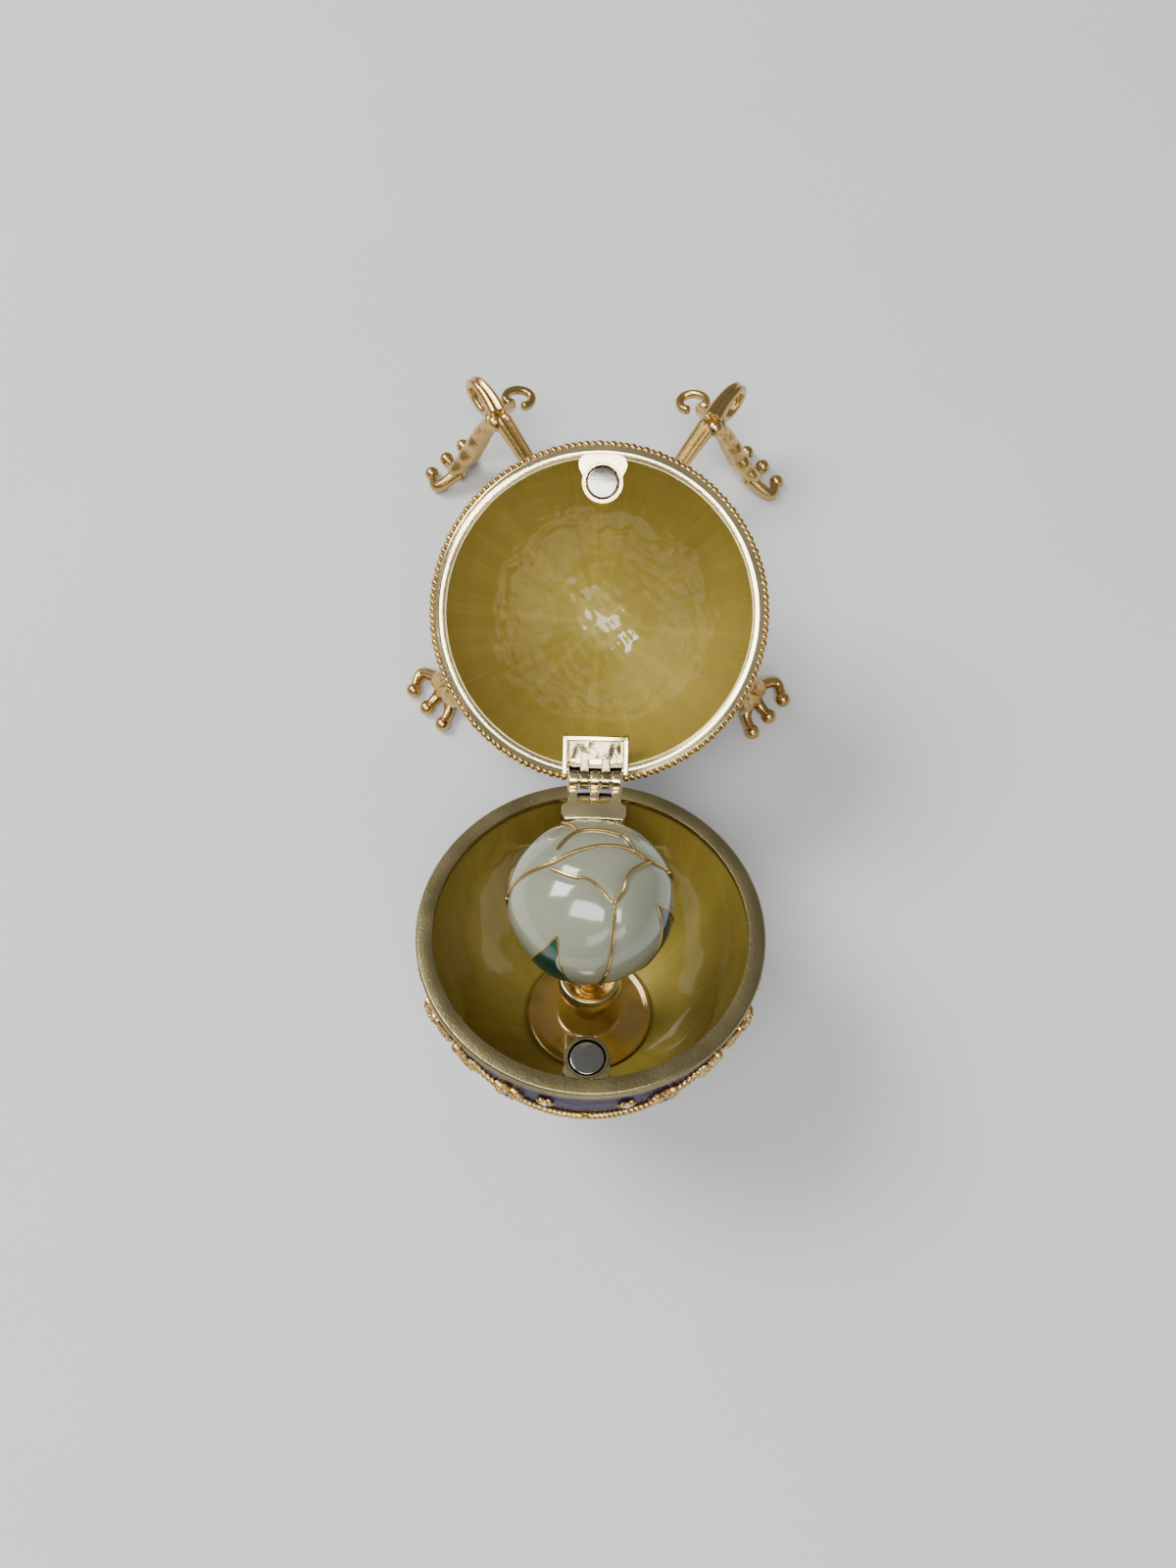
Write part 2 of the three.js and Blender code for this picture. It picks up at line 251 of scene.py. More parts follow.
class Half:
    """One half of the egg in its own frame: rim at z = 0, opening up, hinge towards +Y, in metres."""

    def __init__(self, name, body, axes, rim, rim_inner, wall, wall_inner, depth, depth_inner, taper):
        self.name = name
        self.body = body
        self.axes = axes
        self.centre = HINGE_PIN - axes @ (HINGE_ARM * Y)
        self.rim, self.rim_inner = rim * EGG, rim_inner * EGG
        self.wall, self.wall_inner = wall * EGG, wall_inner * EGG
        self.depth, self.depth_inner = depth * EGG, depth_inner * EGG
        self.taper = taper

    def place(self, points):
        """Points of this half's frame in the row's frame."""
        return points @ self.axes.T + self.centre

    def radius(self, down, inner=False, grow=0.0):
        """Egg curve: r = wall sqrt(1 - s s) (1 - taper s), where s = down / depth."""
        wall, depth = (self.wall_inner, self.depth_inner) if inner else (self.wall, self.depth)
        sine = np.clip(down / (depth + grow), 0, 1)
        return (wall + grow) * np.sqrt(1 - sine**2) * (1 - self.taper * sine)

    def on_wall(self, turn, down, proud=0.0):
        """Points on the outer wall at turns in degrees from the front, with the wall's outward
        direction there, (x / wall^2, y / wall^2, z / depth^2) made one long."""
        turn, down = np.broadcast_arrays(np.radians(turn), np.asarray(down, float))
        radius = self.radius(down)
        point = np.stack([radius * np.sin(turn), -radius * np.cos(turn), -down], -1)
        out = unit(point / np.array([self.wall, self.wall, self.depth]) ** 2)
        return point + proud * out, out


# Radii and depths of the two halves, in egg radii.
BOWL = Half(
    "bowl",
    "base",
    turn_about(X, BOWL_TILT),
    rim=0.957,
    rim_inner=0.864,
    wall=0.945,
    wall_inner=0.893,
    depth=1.28,
    depth_inner=1.22,
    taper=0,
)
LID = Half(
    "lid",
    "lid",
    turn_about(X, LID_TILT) @ turn_about(Z, math.pi),
    rim=0.968,
    rim_inner=0.905,
    wall=0.955,
    wall_inner=0.9,
    depth=1.25,
    depth_inner=1.19,
    taper=0.08,
)


def notched_turns(half, count=240):
    """Angles once round from the hinge to the hinge, with close pairs at both edges of the notch."""
    edge = math.asin(NOTCH / half.rim)
    close = np.array([-1e-4, 1e-4])
    parts = [np.linspace(0, edge, 7)[:-1], edge + close, np.linspace(edge, 2 * np.pi - edge, count)[1:-1]]
    parts += [2 * np.pi - edge + close, np.linspace(2 * np.pi - edge, 2 * np.pi, 7)[1:]]
    return np.concatenate(parts) + np.pi


def skin(half, inner, thickness, top, notch_top, rows=90, relief=None):
    """A closed thin shell that follows the egg curve: down = depth sin(a), from the rim to the
    pole on one face and back on the other. Its top edge drops to notch_top within the notch."""
    turns = notched_turns(half)
    in_notch = np.abs(np.sin(turns)) * half.rim < NOTCH
    edge = np.where(in_notch & (np.cos(turns) < 0), notch_top, top)[:, None]
    depth = half.depth_inner if inner else half.depth
    faces = []
    for grow in (0.0, thickness if inner else -thickness):
        reach = depth + grow
        angle = np.arcsin(edge / reach) + (np.pi / 2 - np.arcsin(edge / reach)) * np.linspace(0, 1, rows)
        down = reach * np.sin(angle)
        radius = half.radius(down, inner, grow)
        radius[:, -1] = 0
        around, across = np.sin(turns)[:, None], np.cos(turns)[:, None]
        faces.append(np.stack([radius * around, -radius * across, -down], -1))
    if relief is not None:
        wall = half.wall_inner if inner else half.wall
        inward = -unit(faces[0] / np.array([wall, wall, depth]) ** 2)
        faces[0] = faces[0] + inward * relief(faces[0])[..., None]
    return half.place(np.concatenate([faces[0], faces[1][:, ::-1], faces[0][:, :1]], axis=1))


def rim_ring(half, outline):
    """A rim band: a closed outline of (radius, height) turned round the egg, open at the hinge."""
    edge = math.asin(NOTCH / half.rim)
    turns = np.linspace(edge, 2 * np.pi - edge, 300) + np.pi
    return half.place(loft(spin(outline, turns)))


def boss(half, sizes):
    """A round seat for a magnet near the front of the rim, with a sunk floor, and a web that
    meets the rim in two hollow fillets. The web's edge, about the seat's middle, is at
    low + (rim - low) (1 - smooth(30, 75, turn)), with the turn in degrees from the way out."""
    reach = MAGNET_REACH
    deep = RIM_DROP + sizes.magnet_height + 0.6 * MM
    low, bore = 3.4 * MM, sizes.magnet_radius + 0.3 * MM
    below = -5.5 * MM
    corners = [(0, below), (low, below), (low, -RIM_DROP), (bore, -RIM_DROP), (bore, -deep), (0, -deep)]
    outline = soften(corners, 0.2 * MM, closed=False)
    seat = spin(outline, full_turn(64)) - reach * Y
    turns = full_turn(120)
    way = spin([(1, 0)], turns)
    overlap = 0.4 * MM
    rim = np.sqrt((half.rim_inner + overlap) ** 2 - (reach * np.sin(turns)) ** 2) - reach * np.cos(turns)
    spread = 1 - smooth(30, 75, np.degrees(np.abs((turns + np.pi) % (2 * np.pi) - np.pi)))
    edge = low - 0.1 * MM + (rim - low) * spread
    inside = np.full_like(edge, bore)
    radii = np.stack([inside, edge, edge, inside, inside], 1)
    heights = np.array([-1.4 * MM, -1.4 * MM, -RIM_DROP, -RIM_DROP, -1.4 * MM])
    web = radii[..., None] * way + heights[:, None] * Z - reach * Y
    return [half.place(seat), half.place(web)]


# ---- meshes ----


def grid_faces(shape, start):
    """Corner numbers of the quads of k grids of n by m points, and each corner's place in 0..1."""
    k, n, m = shape
    index = np.arange(k * n * m).reshape(k, n, m) + start
    corners = [(slice(None, -1), slice(None, -1)), (slice(1, None), slice(None, -1))]
    corners += [(slice(1, None), slice(1, None)), (slice(None, -1), slice(1, None))]
    quads = np.stack([index[:, a, b] for a, b in corners], -1).reshape(-1, 4)
    u, v = np.meshgrid(np.linspace(0, 1, n), np.linspace(0, 1, m), indexing="ij")
    places = np.stack([np.broadcast_to(w, (k, n, m)) for w in (u, v)], -1)
    uv = np.stack([places[:, a, b] for a, b in corners], -2).reshape(-1, 2)
    return quads, uv


def build(name, grids, look, body, replaces=(), sharp=35):
    """Makes one mesh of many grids of points, joins their seams and poles, turns its faces
    outwards and lets it ride on a body of the frame."""
    points, quads, uvs = [], [], []
    start = 0
    for grid in grids:
        grid = grid.reshape((-1,) + grid.shape[-3:])
        faces, uv = grid_faces(grid.shape[:3], start)
        points.append(grid.reshape(-1, 3))
        quads.append(faces)
        uvs.append(uv)
        start += len(points[-1])
    points, quads, uvs = (np.concatenate(part) for part in (points, quads, uvs))
    mesh = bpy.data.meshes.new(name)
    mesh.vertices.add(len(points))
    mesh.vertices.foreach_set("co", points.astype(np.float32).ravel())
    mesh.loops.add(quads.size)
    mesh.loops.foreach_set("vertex_index", quads.astype(np.int32).ravel())
    mesh.polygons.add(len(quads))
    mesh.polygons.foreach_set("loop_start", np.arange(0, quads.size, 4, dtype=np.int32))
    mesh.update(calc_edges=True)
    mesh.uv_layers.new(name="turned").uv.foreach_set("vector", uvs.astype(np.float32).ravel())
    shape = bmesh.new()
    shape.from_mesh(mesh)
    bmesh.ops.remove_doubles(shape, verts=shape.verts, dist=2e-6)
    bmesh.ops.recalc_face_normals(shape, faces=shape.faces)
    shape.to_mesh(mesh)
    shape.free()
    mesh.polygons.foreach_set("use_smooth", np.ones(len(mesh.polygons), bool))
    mesh.set_sharp_from_angle(angle=math.radians(sharp))
    mesh.materials.append(look)
    piece = bpy.data.objects.new(name, mesh)
    bpy.context.scene.collection.objects.link(piece)
    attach(piece, body)
    if replaces:
        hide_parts(*replaces)
    return piece


# ---- shader nodes ----


class Link:
    """A shader output that can be used in plain arithmetic."""

    def __init__(self, graph, socket):
        self.graph = graph
        self.socket = socket

    def maths(self, operation, *values):
        return self.graph.add("ShaderNodeMath", {"operation": operation}, dict(enumerate(values)))

    def __add__(self, other):
        return self.maths("ADD", self, other)

    def __sub__(self, other):
        return self.maths("SUBTRACT", self, other)

    def __mul__(self, other):
        return self.maths("MULTIPLY", self, other)

    def __truediv__(self, other):
        return self.maths("DIVIDE", self, other)

    def __pow__(self, other):
        return self.maths("POWER", self, other)

    def __radd__(self, other):
        return self.maths("ADD", other, self)

    def __rsub__(self, other):
        return self.maths("SUBTRACT", other, self)

    def __rmul__(self, other):
        return self.maths("MULTIPLY", other, self)

    def sine(self):
        return self.maths("SINE", self)

    def step(self, low, high):
        """0 below low and 1 above high, eased between them."""
        return self.graph.add(
            "ShaderNodeMapRange",
            {"interpolation_type": "SMOOTHSTEP"},
            {"Value": self, "From Min": low, "From Max": high},
        )


class Graph:
    """One material's node tree."""

    def __init__(self, name):
        self.material = bpy.data.materials.new(name)
        self.material.use_nodes = True
        self.tree = self.material.node_tree
        self.shader = self.tree.nodes["Principled BSDF"]

    def put(self, node, key, value):
        """Sets one socket of a node to a value or a link."""
        if isinstance(value, Link):
            self.tree.links.new(value.socket, node.inputs[key])
        else:
            node.inputs[key].default_value = value

    def add(self, kind, settings, inputs, output=0):
        """Adds a node: its settings first, then its sockets; returns one of its outputs."""
        node = self.tree.nodes.new(kind)
        for key, value in settings.items():
            if key == "stops":
                while len(node.color_ramp.elements) < len(value):
                    node.color_ramp.elements.new(0.5)
                for element, (place, colour) in zip(node.color_ramp.elements, value):
                    element.position = place
                    element.color = colour
            else:
                setattr(node, key, value)
        for key, value in inputs.items():
            self.put(node, key, value)
        return Link(self, node.outputs[output])

    def place(self):
        return self.add("ShaderNodeTexCoord", {}, {}, "Object")

    def turned(self):
        """The piece's own places: how far round, and how far along its outline."""
        uv = self.add("ShaderNodeUVMap", {"uv_map": "turned"}, {})
        return [self.add("ShaderNodeSeparateXYZ", {}, {0: uv}, k) for k in (0, 1)]

    def vector(self, x, y, z=0.0):
        return self.add("ShaderNodeCombineXYZ", {}, {0: x, 1: y, 2: z})

    def noise(self, vector, scale, detail=2.0, roughness=0.5):
        inputs = {"Vector": vector, "Scale": scale, "Detail": detail, "Roughness": roughness}
        return self.add("ShaderNodeTexNoise", {}, inputs)

    def cells(self, vector, scale):
        return self.add("ShaderNodeTexVoronoi", {}, {"Vector": vector, "Scale": scale})

    def mix(self, factor, first, second):
        return self.add("ShaderNodeMix", {"data_type": "RGBA"}, {0: factor, 6: first, 7: second}, 2)

    def bump(self, height, depth):
        """A normal from a height of 0 to 1 that stands for that depth in metres."""
        return self.add("ShaderNodeBump", {}, {"Strength": 1.0, "Distance": depth, "Height": height})

    def finish(self, **sockets):
        """Sets the shader's sockets, named as in Blender with _ for each space."""
        for key, value in sockets.items():
            self.put(self.shader, key.replace("_", " "), value)
        return self.material


def dimmed(colour, amount):
    """A colour's red, green and blue, each times an amount."""
    return tuple(amount * c for c in colour)


def shade(colour, amount):
    """A colour made darker or lighter by an amount, as a shader colour."""
    return tuple(channel * amount for channel in colour) + (1.0,)


def gilt(name, colour, roughness, grain=0.03 * MM, wear=0.5):
    """Gold plate over a casting: fine grain, slow changes of gloss, and darker dull spots."""
    graph = Graph(name)
    place = graph.place()
    slow = graph.noise(place, 120, 3)
    fine = graph.noise(place, 2600, 3, 0.6)
    dull = graph.noise(place, 700, 4, 0.6).step(0.56, 0.72) * wear
    base = graph.mix(slow.step(0.3, 0.7), shade(colour, 0.82), shade(colour, 1.08))
    return graph.finish(
        Base_Color=graph.mix(dull, base, shade(colour, 0.5)),
        Metallic=1.0,
        Roughness=roughness + (slow - 0.5) * 0.12 + dull * 0.2,
        Normal=graph.bump(fine, grain),
    )


def guilloche(name, colour, pole_painted_light, rays, ripple_scale):
    """Clear enamel over an engraved sunburst: rays that run to the pole, broad and fine. The rays are a real
    pattern with a real bump, but their colour is painted light: a lighter copy of the enamel on the streaks
    is painted highlight and a darker copy between them is painted shade. From rim to pole the colour grows
    lighter, painted shade under the rim and painted light on the floor of the hollow."""
    graph = Graph(name)
    around, down = graph.turned()
    broad = graph.noise(graph.vector(around * rays * 0.3, down * 1.4), 1.0, 2)
    fine = graph.noise(graph.vector(around * rays * 2.2, down * 2.6), 1.0, 4, 0.65)
    streak = broad * 0.5 + fine * 0.5
    cloud = graph.noise(graph.place(), ripple_scale, 3)
    # Painted light: the colour goes from the rim colour to a lighter pole colour, painted shade under the
    # rim and painted light on the floor of the hollow.
    depth = (down * 2.0).step(0.15, 1.0)
    # Painted highlight and painted shade on the rays: this mask picks a lighter copy of the enamel on the
    # streaks and a darker copy between them.
    lit = streak.step(0.4, 0.66)
    dark = graph.mix(depth, shade(colour, 0.86), shade(pole_painted_light, 0.86))
    light = graph.mix(depth, shade(colour, 1.1), shade(pole_painted_light, 1.16))
    return graph.finish(
        Base_Color=graph.mix(lit * 0.75 + cloud * 0.25, dark, light),
        Metallic=0.25,
        Roughness=0.36 + (1 - lit) * 0.1,
        Coat_Weight=1.0,
        Coat_Roughness=0.03,
        Normal=graph.bump(streak, 0.07 * MM),
    )


def enamel(name, colour, other, mottle=90, depth=0.02 * MM, roughness=0.16, metallic=0.0):
    """Glossy fired enamel: a slow drift between two tones and a faint orange-peel surface."""
    graph = Graph(name)
    place = graph.place()
    drift = graph.noise(place, mottle, 3)
    peel = graph.noise(place, 900, 2)
    pits = graph.cells(place, 1500).step(0.0, 0.12)
    base = graph.mix(drift.step(0.35, 0.65), shade(colour, 1.0), shade(other, 1.0))
    return graph.finish(
        Base_Color=graph.mix(1 - pits, base, shade(colour, 0.7)),
        Metallic=metallic,
        Roughness=roughness + drift * 0.08,
        Coat_Weight=0.8,
        Coat_Roughness=0.04,
        Normal=graph.bump(peel, depth),
    )


def navy_enamel(name, colour, other):
    """Deep blue enamel over engine-turned waves: thin arcs that shift half a wave from row to row."""
    graph = Graph(name)
    around, down = graph.turned()
    wave = (down * 190 + (around * 150).sine() * 1.1).sine() * 0.5 + 0.5
    drift = graph.noise(graph.place(), 70, 3)
    base = graph.mix(drift.step(0.35, 0.65), shade(colour, 1.0), shade(other, 1.0))
    return graph.finish(
        Base_Color=graph.mix(wave * 0.6, base, shade(colour, 1.9)),
        Metallic=0.1,
        Roughness=0.42 + drift * 0.08,
        Specular_IOR_Level=0.1,
        Coat_Weight=0.06,
        Coat_Roughness=0.1,
        Normal=graph.bump(wave, 0.06 * MM),
    )


def steel(name, colour):
    """Satin plated steel: fine scratches one way and small pits."""
    graph = Graph(name)
    place = graph.place()
    stretched = graph.add("ShaderNodeVectorMath", {"operation": "MULTIPLY"}, {0: place, 1: (300, 4000, 300)})
    scratch = graph.noise(stretched, 1.0, 3)
    pits = graph.noise(place, 1500, 3).step(0.6, 0.75)
    return graph.finish(
        Base_Color=graph.mix(pits, shade(colour, 1.0), shade(colour, 0.55)),
        Metallic=1.0,
        Roughness=0.12 + scratch * 0.12,
        Normal=graph.bump(scratch, 0.01 * MM),
    )


def crystal(name, colour):
    """Cut glass: a dark body under a clear hard gloss, with painted glints: small cells whose middles are a
    lighter copy of the stone's colour and whose edges a darker copy.
    """
    graph = Graph(name)
    # Painted glint: a lighter copy of the stone's colour at the middle of each small cell and a darker copy
    # at its edges.
    painted_glint = graph.cells(graph.place(), 1800).step(0.1, 0.6)
    return graph.finish(
        Base_Color=graph.mix(painted_glint, shade(colour, 1.6), shade(colour, 0.6)),
        Metallic=0.3,
        Roughness=0.05 + painted_glint * 0.05,
        Coat_Weight=1.0,
        Coat_Roughness=0.0,
    )


# ---- settings ----


def length(name, description, default):
    """A length in metres that can't be negative."""
    return FloatProperty(
        name=name, description=description, default=default, min=0.0, unit="LENGTH", precision=5
    )


def colour(name, description, default):
    """A linear red, green and blue."""
    return FloatVectorProperty(
        name=name, description=description, default=default, subtype="COLOR", size=3, min=0, max=1
    )


class EggSizes(bpy.types.PropertyGroup):
    """Sizes of the egg box that can be changed."""

    magnet_radius: length("Magnet radius", "Radius of each magnet disc", 2.5 * MM)
    magnet_height: length("Magnet height", "Height of each magnet disc", 2.0 * MM)
    bead_radius: length("Bead radius", "Radius of one bead of the lid's edge", 0.66 * MM)
    beads: IntProperty(name="Beads", description="Beads round the lid's edge", default=150, min=12)
    leaf_length: length("Leaf length", "Length of one garland leaf", 2.7 * MM)
    leaf_pairs: IntProperty(
        name="Leaf pairs", description="Pairs of leaves in one garland", default=24, min=4
    )
    stone_radius: length("Stone radius", "Radius of the larger stones", 1.0 * MM)
    wire_radius: length("Wire radius", "Radius of the gold lines on the bud", 0.22 * MM)
    ripple: length("Ripple", "Height of the ripples in the clear enamel", 0.05 * MM)
    toe_ball: length("Toe ball", "Radius of the ball at each toe's end", 0.052 * EGG)


class EggColours(bpy.types.PropertyGroup):
    """Colours of the egg box that can be changed."""

    gold: colour("Gold", "Polished gold plate", (0.62, 0.41, 0.14))
    bright_gold: colour("Bright gold", "Rim band, cup and bosses", (0.9, 0.74, 0.4))
    pale_gold: colour("Pale gold", "Bowl rim and hinge", (0.28, 0.23, 0.11))
    # Lining colours near the rim and near the pole: the lighter pole colours are painted light on the floor
    # of the hollow, the darker rim colours painted shade under the rim.
    lid_lining: colour("Lid lining", "Clear enamel near the lid's rim", (0.31, 0.225, 0.03))
    lid_pole_painted_light: colour("Lid glow", "Clear enamel near the lid's pole", (0.42, 0.325, 0.05))
    bowl_lining: colour("Bowl lining", "Clear enamel near the bowl's rim", (0.25, 0.185, 0.026))
    bowl_pole_painted_light: colour("Bowl glow", "Clear enamel near the bowl's floor", (0.38, 0.3, 0.046))
    navy: colour("Navy", "Outer enamel", (0.007, 0.007, 0.035))
    violet: colour("Violet", "Second tone of the outer enamel", (0.03, 0.012, 0.05))
    white: colour("White", "Enamel of the bud", (0.24, 0.25, 0.175))
    green: colour("Green", "Enamel of the sepals", (0.006, 0.05, 0.032))
    amber: colour("Amber", "Enamel of the bud's base", (0.34, 0.2, 0.022))
    steel: colour("Steel", "Magnet discs", (0.32, 0.31, 0.28))
    sapphire: colour("Sapphire", "Blue stones", (0.02, 0.1, 0.5))
    clear: colour("Clear", "Clear stones", (0.75, 0.8, 0.85))
    floor: colour("Floor", "Table top", (0.62, 0.625, 0.62))


# ---- pieces ----


def build_half(half, lining_look, wall_look, rim_look, lining_relief, rim_outline, sizes):
    """The shell of one half: lining, outer wall, rim band and magnet seat."""
    thin = 0.3 * (half.wall - half.wall_inner)
    body, name = half.body, half.name
    notch_top = 2.4 * MM
    outside = skin(half, False, thin, LIP - 0.4 * MM, notch_top)
    inside = skin(half, True, thin, 1.0 * MM, notch_top, 120, lining_relief)
    build(f"{name}_wall", [outside], wall_look, body, [f"{name}_shell"])
    build(f"{name}_lining", [inside], lining_look, body)
    build(f"{name}_rim", [rim_ring(half, rim_outline)] + boss(half, sizes), rim_look, body)


def ridge_line(points, ripple):
    """Height of the lid's clear enamel: a raised pool with a ragged edge about 0.6 egg radii from
    the pole, and slow ripples that fade towards the rim."""
    around = np.arctan2(points[..., 0], points[..., 1])
    out = np.hypot(points[..., 0], points[..., 1])
    ring = np.stack([np.cos(around), np.sin(around), np.zeros_like(around)], -1)
    ragged = 0.62 * EGG + 0.035 * EGG * waves(ring, 14, 0.12, 0.9, 4)
    pool = smooth(ragged + 0.35 * MM, ragged - 0.35 * MM, out)
    crest = np.exp(-(((out - ragged) / (0.3 * MM)) ** 2))
    return ripple * (2.2 * pool + 1.6 * crest + waves(points, 26, 1.6 * MM, 7 * MM, 11) * (0.4 + pool))


class EGGBOX_OT_bowl(bpy.types.Operator):
    """Lower half of the egg: enamelled shell, flat rim with a second lip, magnet seat and foot"""

    bl_idname = "eggbox.bowl"
    bl_label = "Bowl"

    def execute(self, context):
        sizes, colours = context.scene.egg_sizes, context.scene.egg_colours
        edge, inner = BOWL.rim, BOWL.rim_inner
        outline = soften(
            [
                (inner, -1.4 * MM),
                (inner, -RIM_DROP),
                (edge - 0.3 * MM, -RIM_DROP),
                (edge, -0.5 * MM),
                (edge, -1.05 * MM),
                (edge - 0.5 * MM, -1.3 * MM),
                (edge - 0.05 * MM, -1.6 * MM),
                (edge - 0.05 * MM, -LIP),
                (edge - 0.9 * MM, -LIP),
                (edge - 1.0 * MM, -1.4 * MM),
            ],
            0.12 * MM,
            3,
        )
        rim_look = gilt("bowl rim gold", colours.pale_gold, 0.34, 0.05 * MM, 0.7)
        build_half(
            BOWL,
            guilloche("bowl lining enamel", colours.bowl_lining, colours.bowl_pole_painted_light, 90, 160),
            navy_enamel("bowl outer enamel", colours.navy, colours.violet),
            rim_look,
            lambda points: sizes.ripple * 0.5 * waves(points, 22, 3 * MM, 11 * MM, 5),
            outline,
            sizes,
        )
        seat = block((-5.4 * MM, 21.2 * MM, -5 * MM), (5.4 * MM, 25.2 * MM, -1.5 * MM))
        build("bowl_hinge_seat", [BOWL.place(seat)], rim_look, "base")
        self.foot(colours)
        return {"FINISHED"}

    def foot(self, colours):
        """A round foot under a ring of eight leaves that lie on the wall."""
        radius, top, sole = 0.3 * EGG, 1.2 * EGG, 1.414 * EGG
        outline = soften(
            [
                (0, -sole),
                (radius, -sole),
                (radius, -sole + 1.2 * MM),
                (0.8 * radius, -sole + 2 * MM),
                (0.78 * radius, -sole + 3 * MM),
                (0.95 * radius, -top - 0.9 * MM),
                (0.6 * radius, -top - 1.2 * MM),
                (0, -BOWL.depth),
            ],
            0.4 * MM,
            5,
            closed=False,
        )
        turns = np.arange(8) * 45.0
        start, out = BOWL.on_wall(turns, 1.225 * EGG)
        end, _ = BOWL.on_wall(turns, 1.08 * EGG)
        leaves = stamp(leaf(7.5 * MM, 2.0 * MM, 0.9 * MM), start, unit(end - start), out)
        beads = spin([(0.97 * radius, -sole + 1.9 * MM)], full_turn(36)[:-1])[:, 0]
        pearls = beads[:, None, None] + ball((0, 0, 0), 0.55 * MM, 10, 6)
        build(
            "bowl_foot_turned",
            [BOWL.place(spin(outline, full_turn(72))), BOWL.place(leaves), BOWL.place(pearls)],
            gilt("foot gold", colours.gold, 0.24),
            "base",
            ["bowl_foot"],
        )


class EGGBOX_OT_lid(bpy.types.Operator):
    """Upper half of the egg: sunburst enamel, polished band, beaded edge and framed hinge pocket"""

    bl_idname = "eggbox.lid"
    bl_label = "Lid"

    def execute(self, context):
        sizes, colours = context.scene.egg_sizes, context.scene.egg_colours
        edge, inner = LID.rim, LID.rim_inner
        outline = soften(
            [
                (inner, -1.4 * MM),
                (inner, -RIM_DROP - 0.15 * MM),
                (inner + 0.85 * MM, -RIM_DROP),
                (inner + 0.95 * MM, -RIM_DROP - 0.15 * MM),
                (edge - 0.1 * MM, -RIM_DROP - 0.25 * MM),
                (edge + 0.1 * MM, -0.8 * MM),
                (edge, -LIP),
                (edge - 1.0 * MM, -LIP),
                (edge - 1.1 * MM, -1.4 * MM),
            ],
            0.15 * MM,
            4,
        )
        band_look = gilt("lid band gold", colours.bright_gold, 0.13, 0.02 * MM, 0.25)
        build_half(
            LID,
            guilloche("lid lining enamel", colours.lid_lining, colours.lid_pole_painted_light, 120, 150),
            navy_enamel("lid outer enamel", colours.navy, colours.violet),
            band_look,
            lambda points: ridge_line(points, sizes.ripple),
            outline,
            sizes,
        )
        self.edge_beads(sizes, colours)
        self.pocket(band_look)
        return {"FINISHED"}

    def edge_beads(self, sizes, colours):
        """Round beads whose size changes by a tenth along the row, and small ones below them,
        open at the hinge."""
        edge = math.asin(NOTCH / LID.rim) + 0.02
        turns = np.linspace(edge, 2 * np.pi - edge, sizes.beads) + np.pi
        places = spin([(EGG - 1.05 * sizes.bead_radius, -0.038 * EGG)], turns)[:, 0]
        swell = 1 + 0.1 * np.sin(2.7 * np.arange(sizes.beads))
        places, swell = places[:, None, None], swell[:, None, None, None]
        beads = places + swell * ball((0, 0, 0), sizes.bead_radius, 12, 8)
        low = places * (0.985, 0.985, 1) - 0.75 * MM * Z + ball((0, 0, 0), 0.5 * sizes.bead_radius, 8, 6)
        look = gilt("bead gold", colours.gold, 0.2)
        build("lid_beads", [LID.place(beads), LID.place(low)], look, "lid")

    def pocket(self, look):
        """A square frame open towards the hinge, and the floor under the hinge plate."""
        half, inner, top, low = 4.6 * MM, 0.745 * EGG, -RIM_DROP + 0.05 * MM, -5.2 * MM
        wall = 0.95 * MM
        sides = [
            block((side - wall / 2, inner - wall, low), (side + wall / 2, 0.945 * EGG, top), 0.2 * MM)
            for side in (-half - wall / 2, half + wall / 2)
        ]
        end = block((-half - wall, inner - wall, low), (half + wall, inner, top), 0.2 * MM)
        floor = block((-half - 0.3 * MM, inner - 0.4 * MM, low), (half + 0.3 * MM, 0.91 * EGG, -3.3 * MM))
        build("lid_hinge_pocket", [LID.place(part) for part in (*sides, end, floor)], look, "lid")


class EGGBOX_OT_magnets(bpy.types.Operator):
    """The two magnet discs, sunk in their seats"""

    bl_idname = "eggbox.magnets"
    bl_label = "Magnets"

    def execute(self, context):
        sizes, colours = context.scene.egg_sizes, context.scene.egg_colours
        look = steel("magnet steel", colours.steel)
        radius, top = sizes.magnet_radius, -RIM_DROP - 0.1 * MM
        low = top - sizes.magnet_height
        outline = soften([(0, top), (radius, top), (radius, low), (0, low)], 0.2 * MM, closed=False)
        disc = spin(outline, full_turn(64)) - MAGNET_REACH * Y
        for half in (BOWL, LID):
            name = f"{half.name}_magnet"
            build(f"{name}_disc", [half.place(disc)], look, half.body, [name])
        return {"FINISHED"}


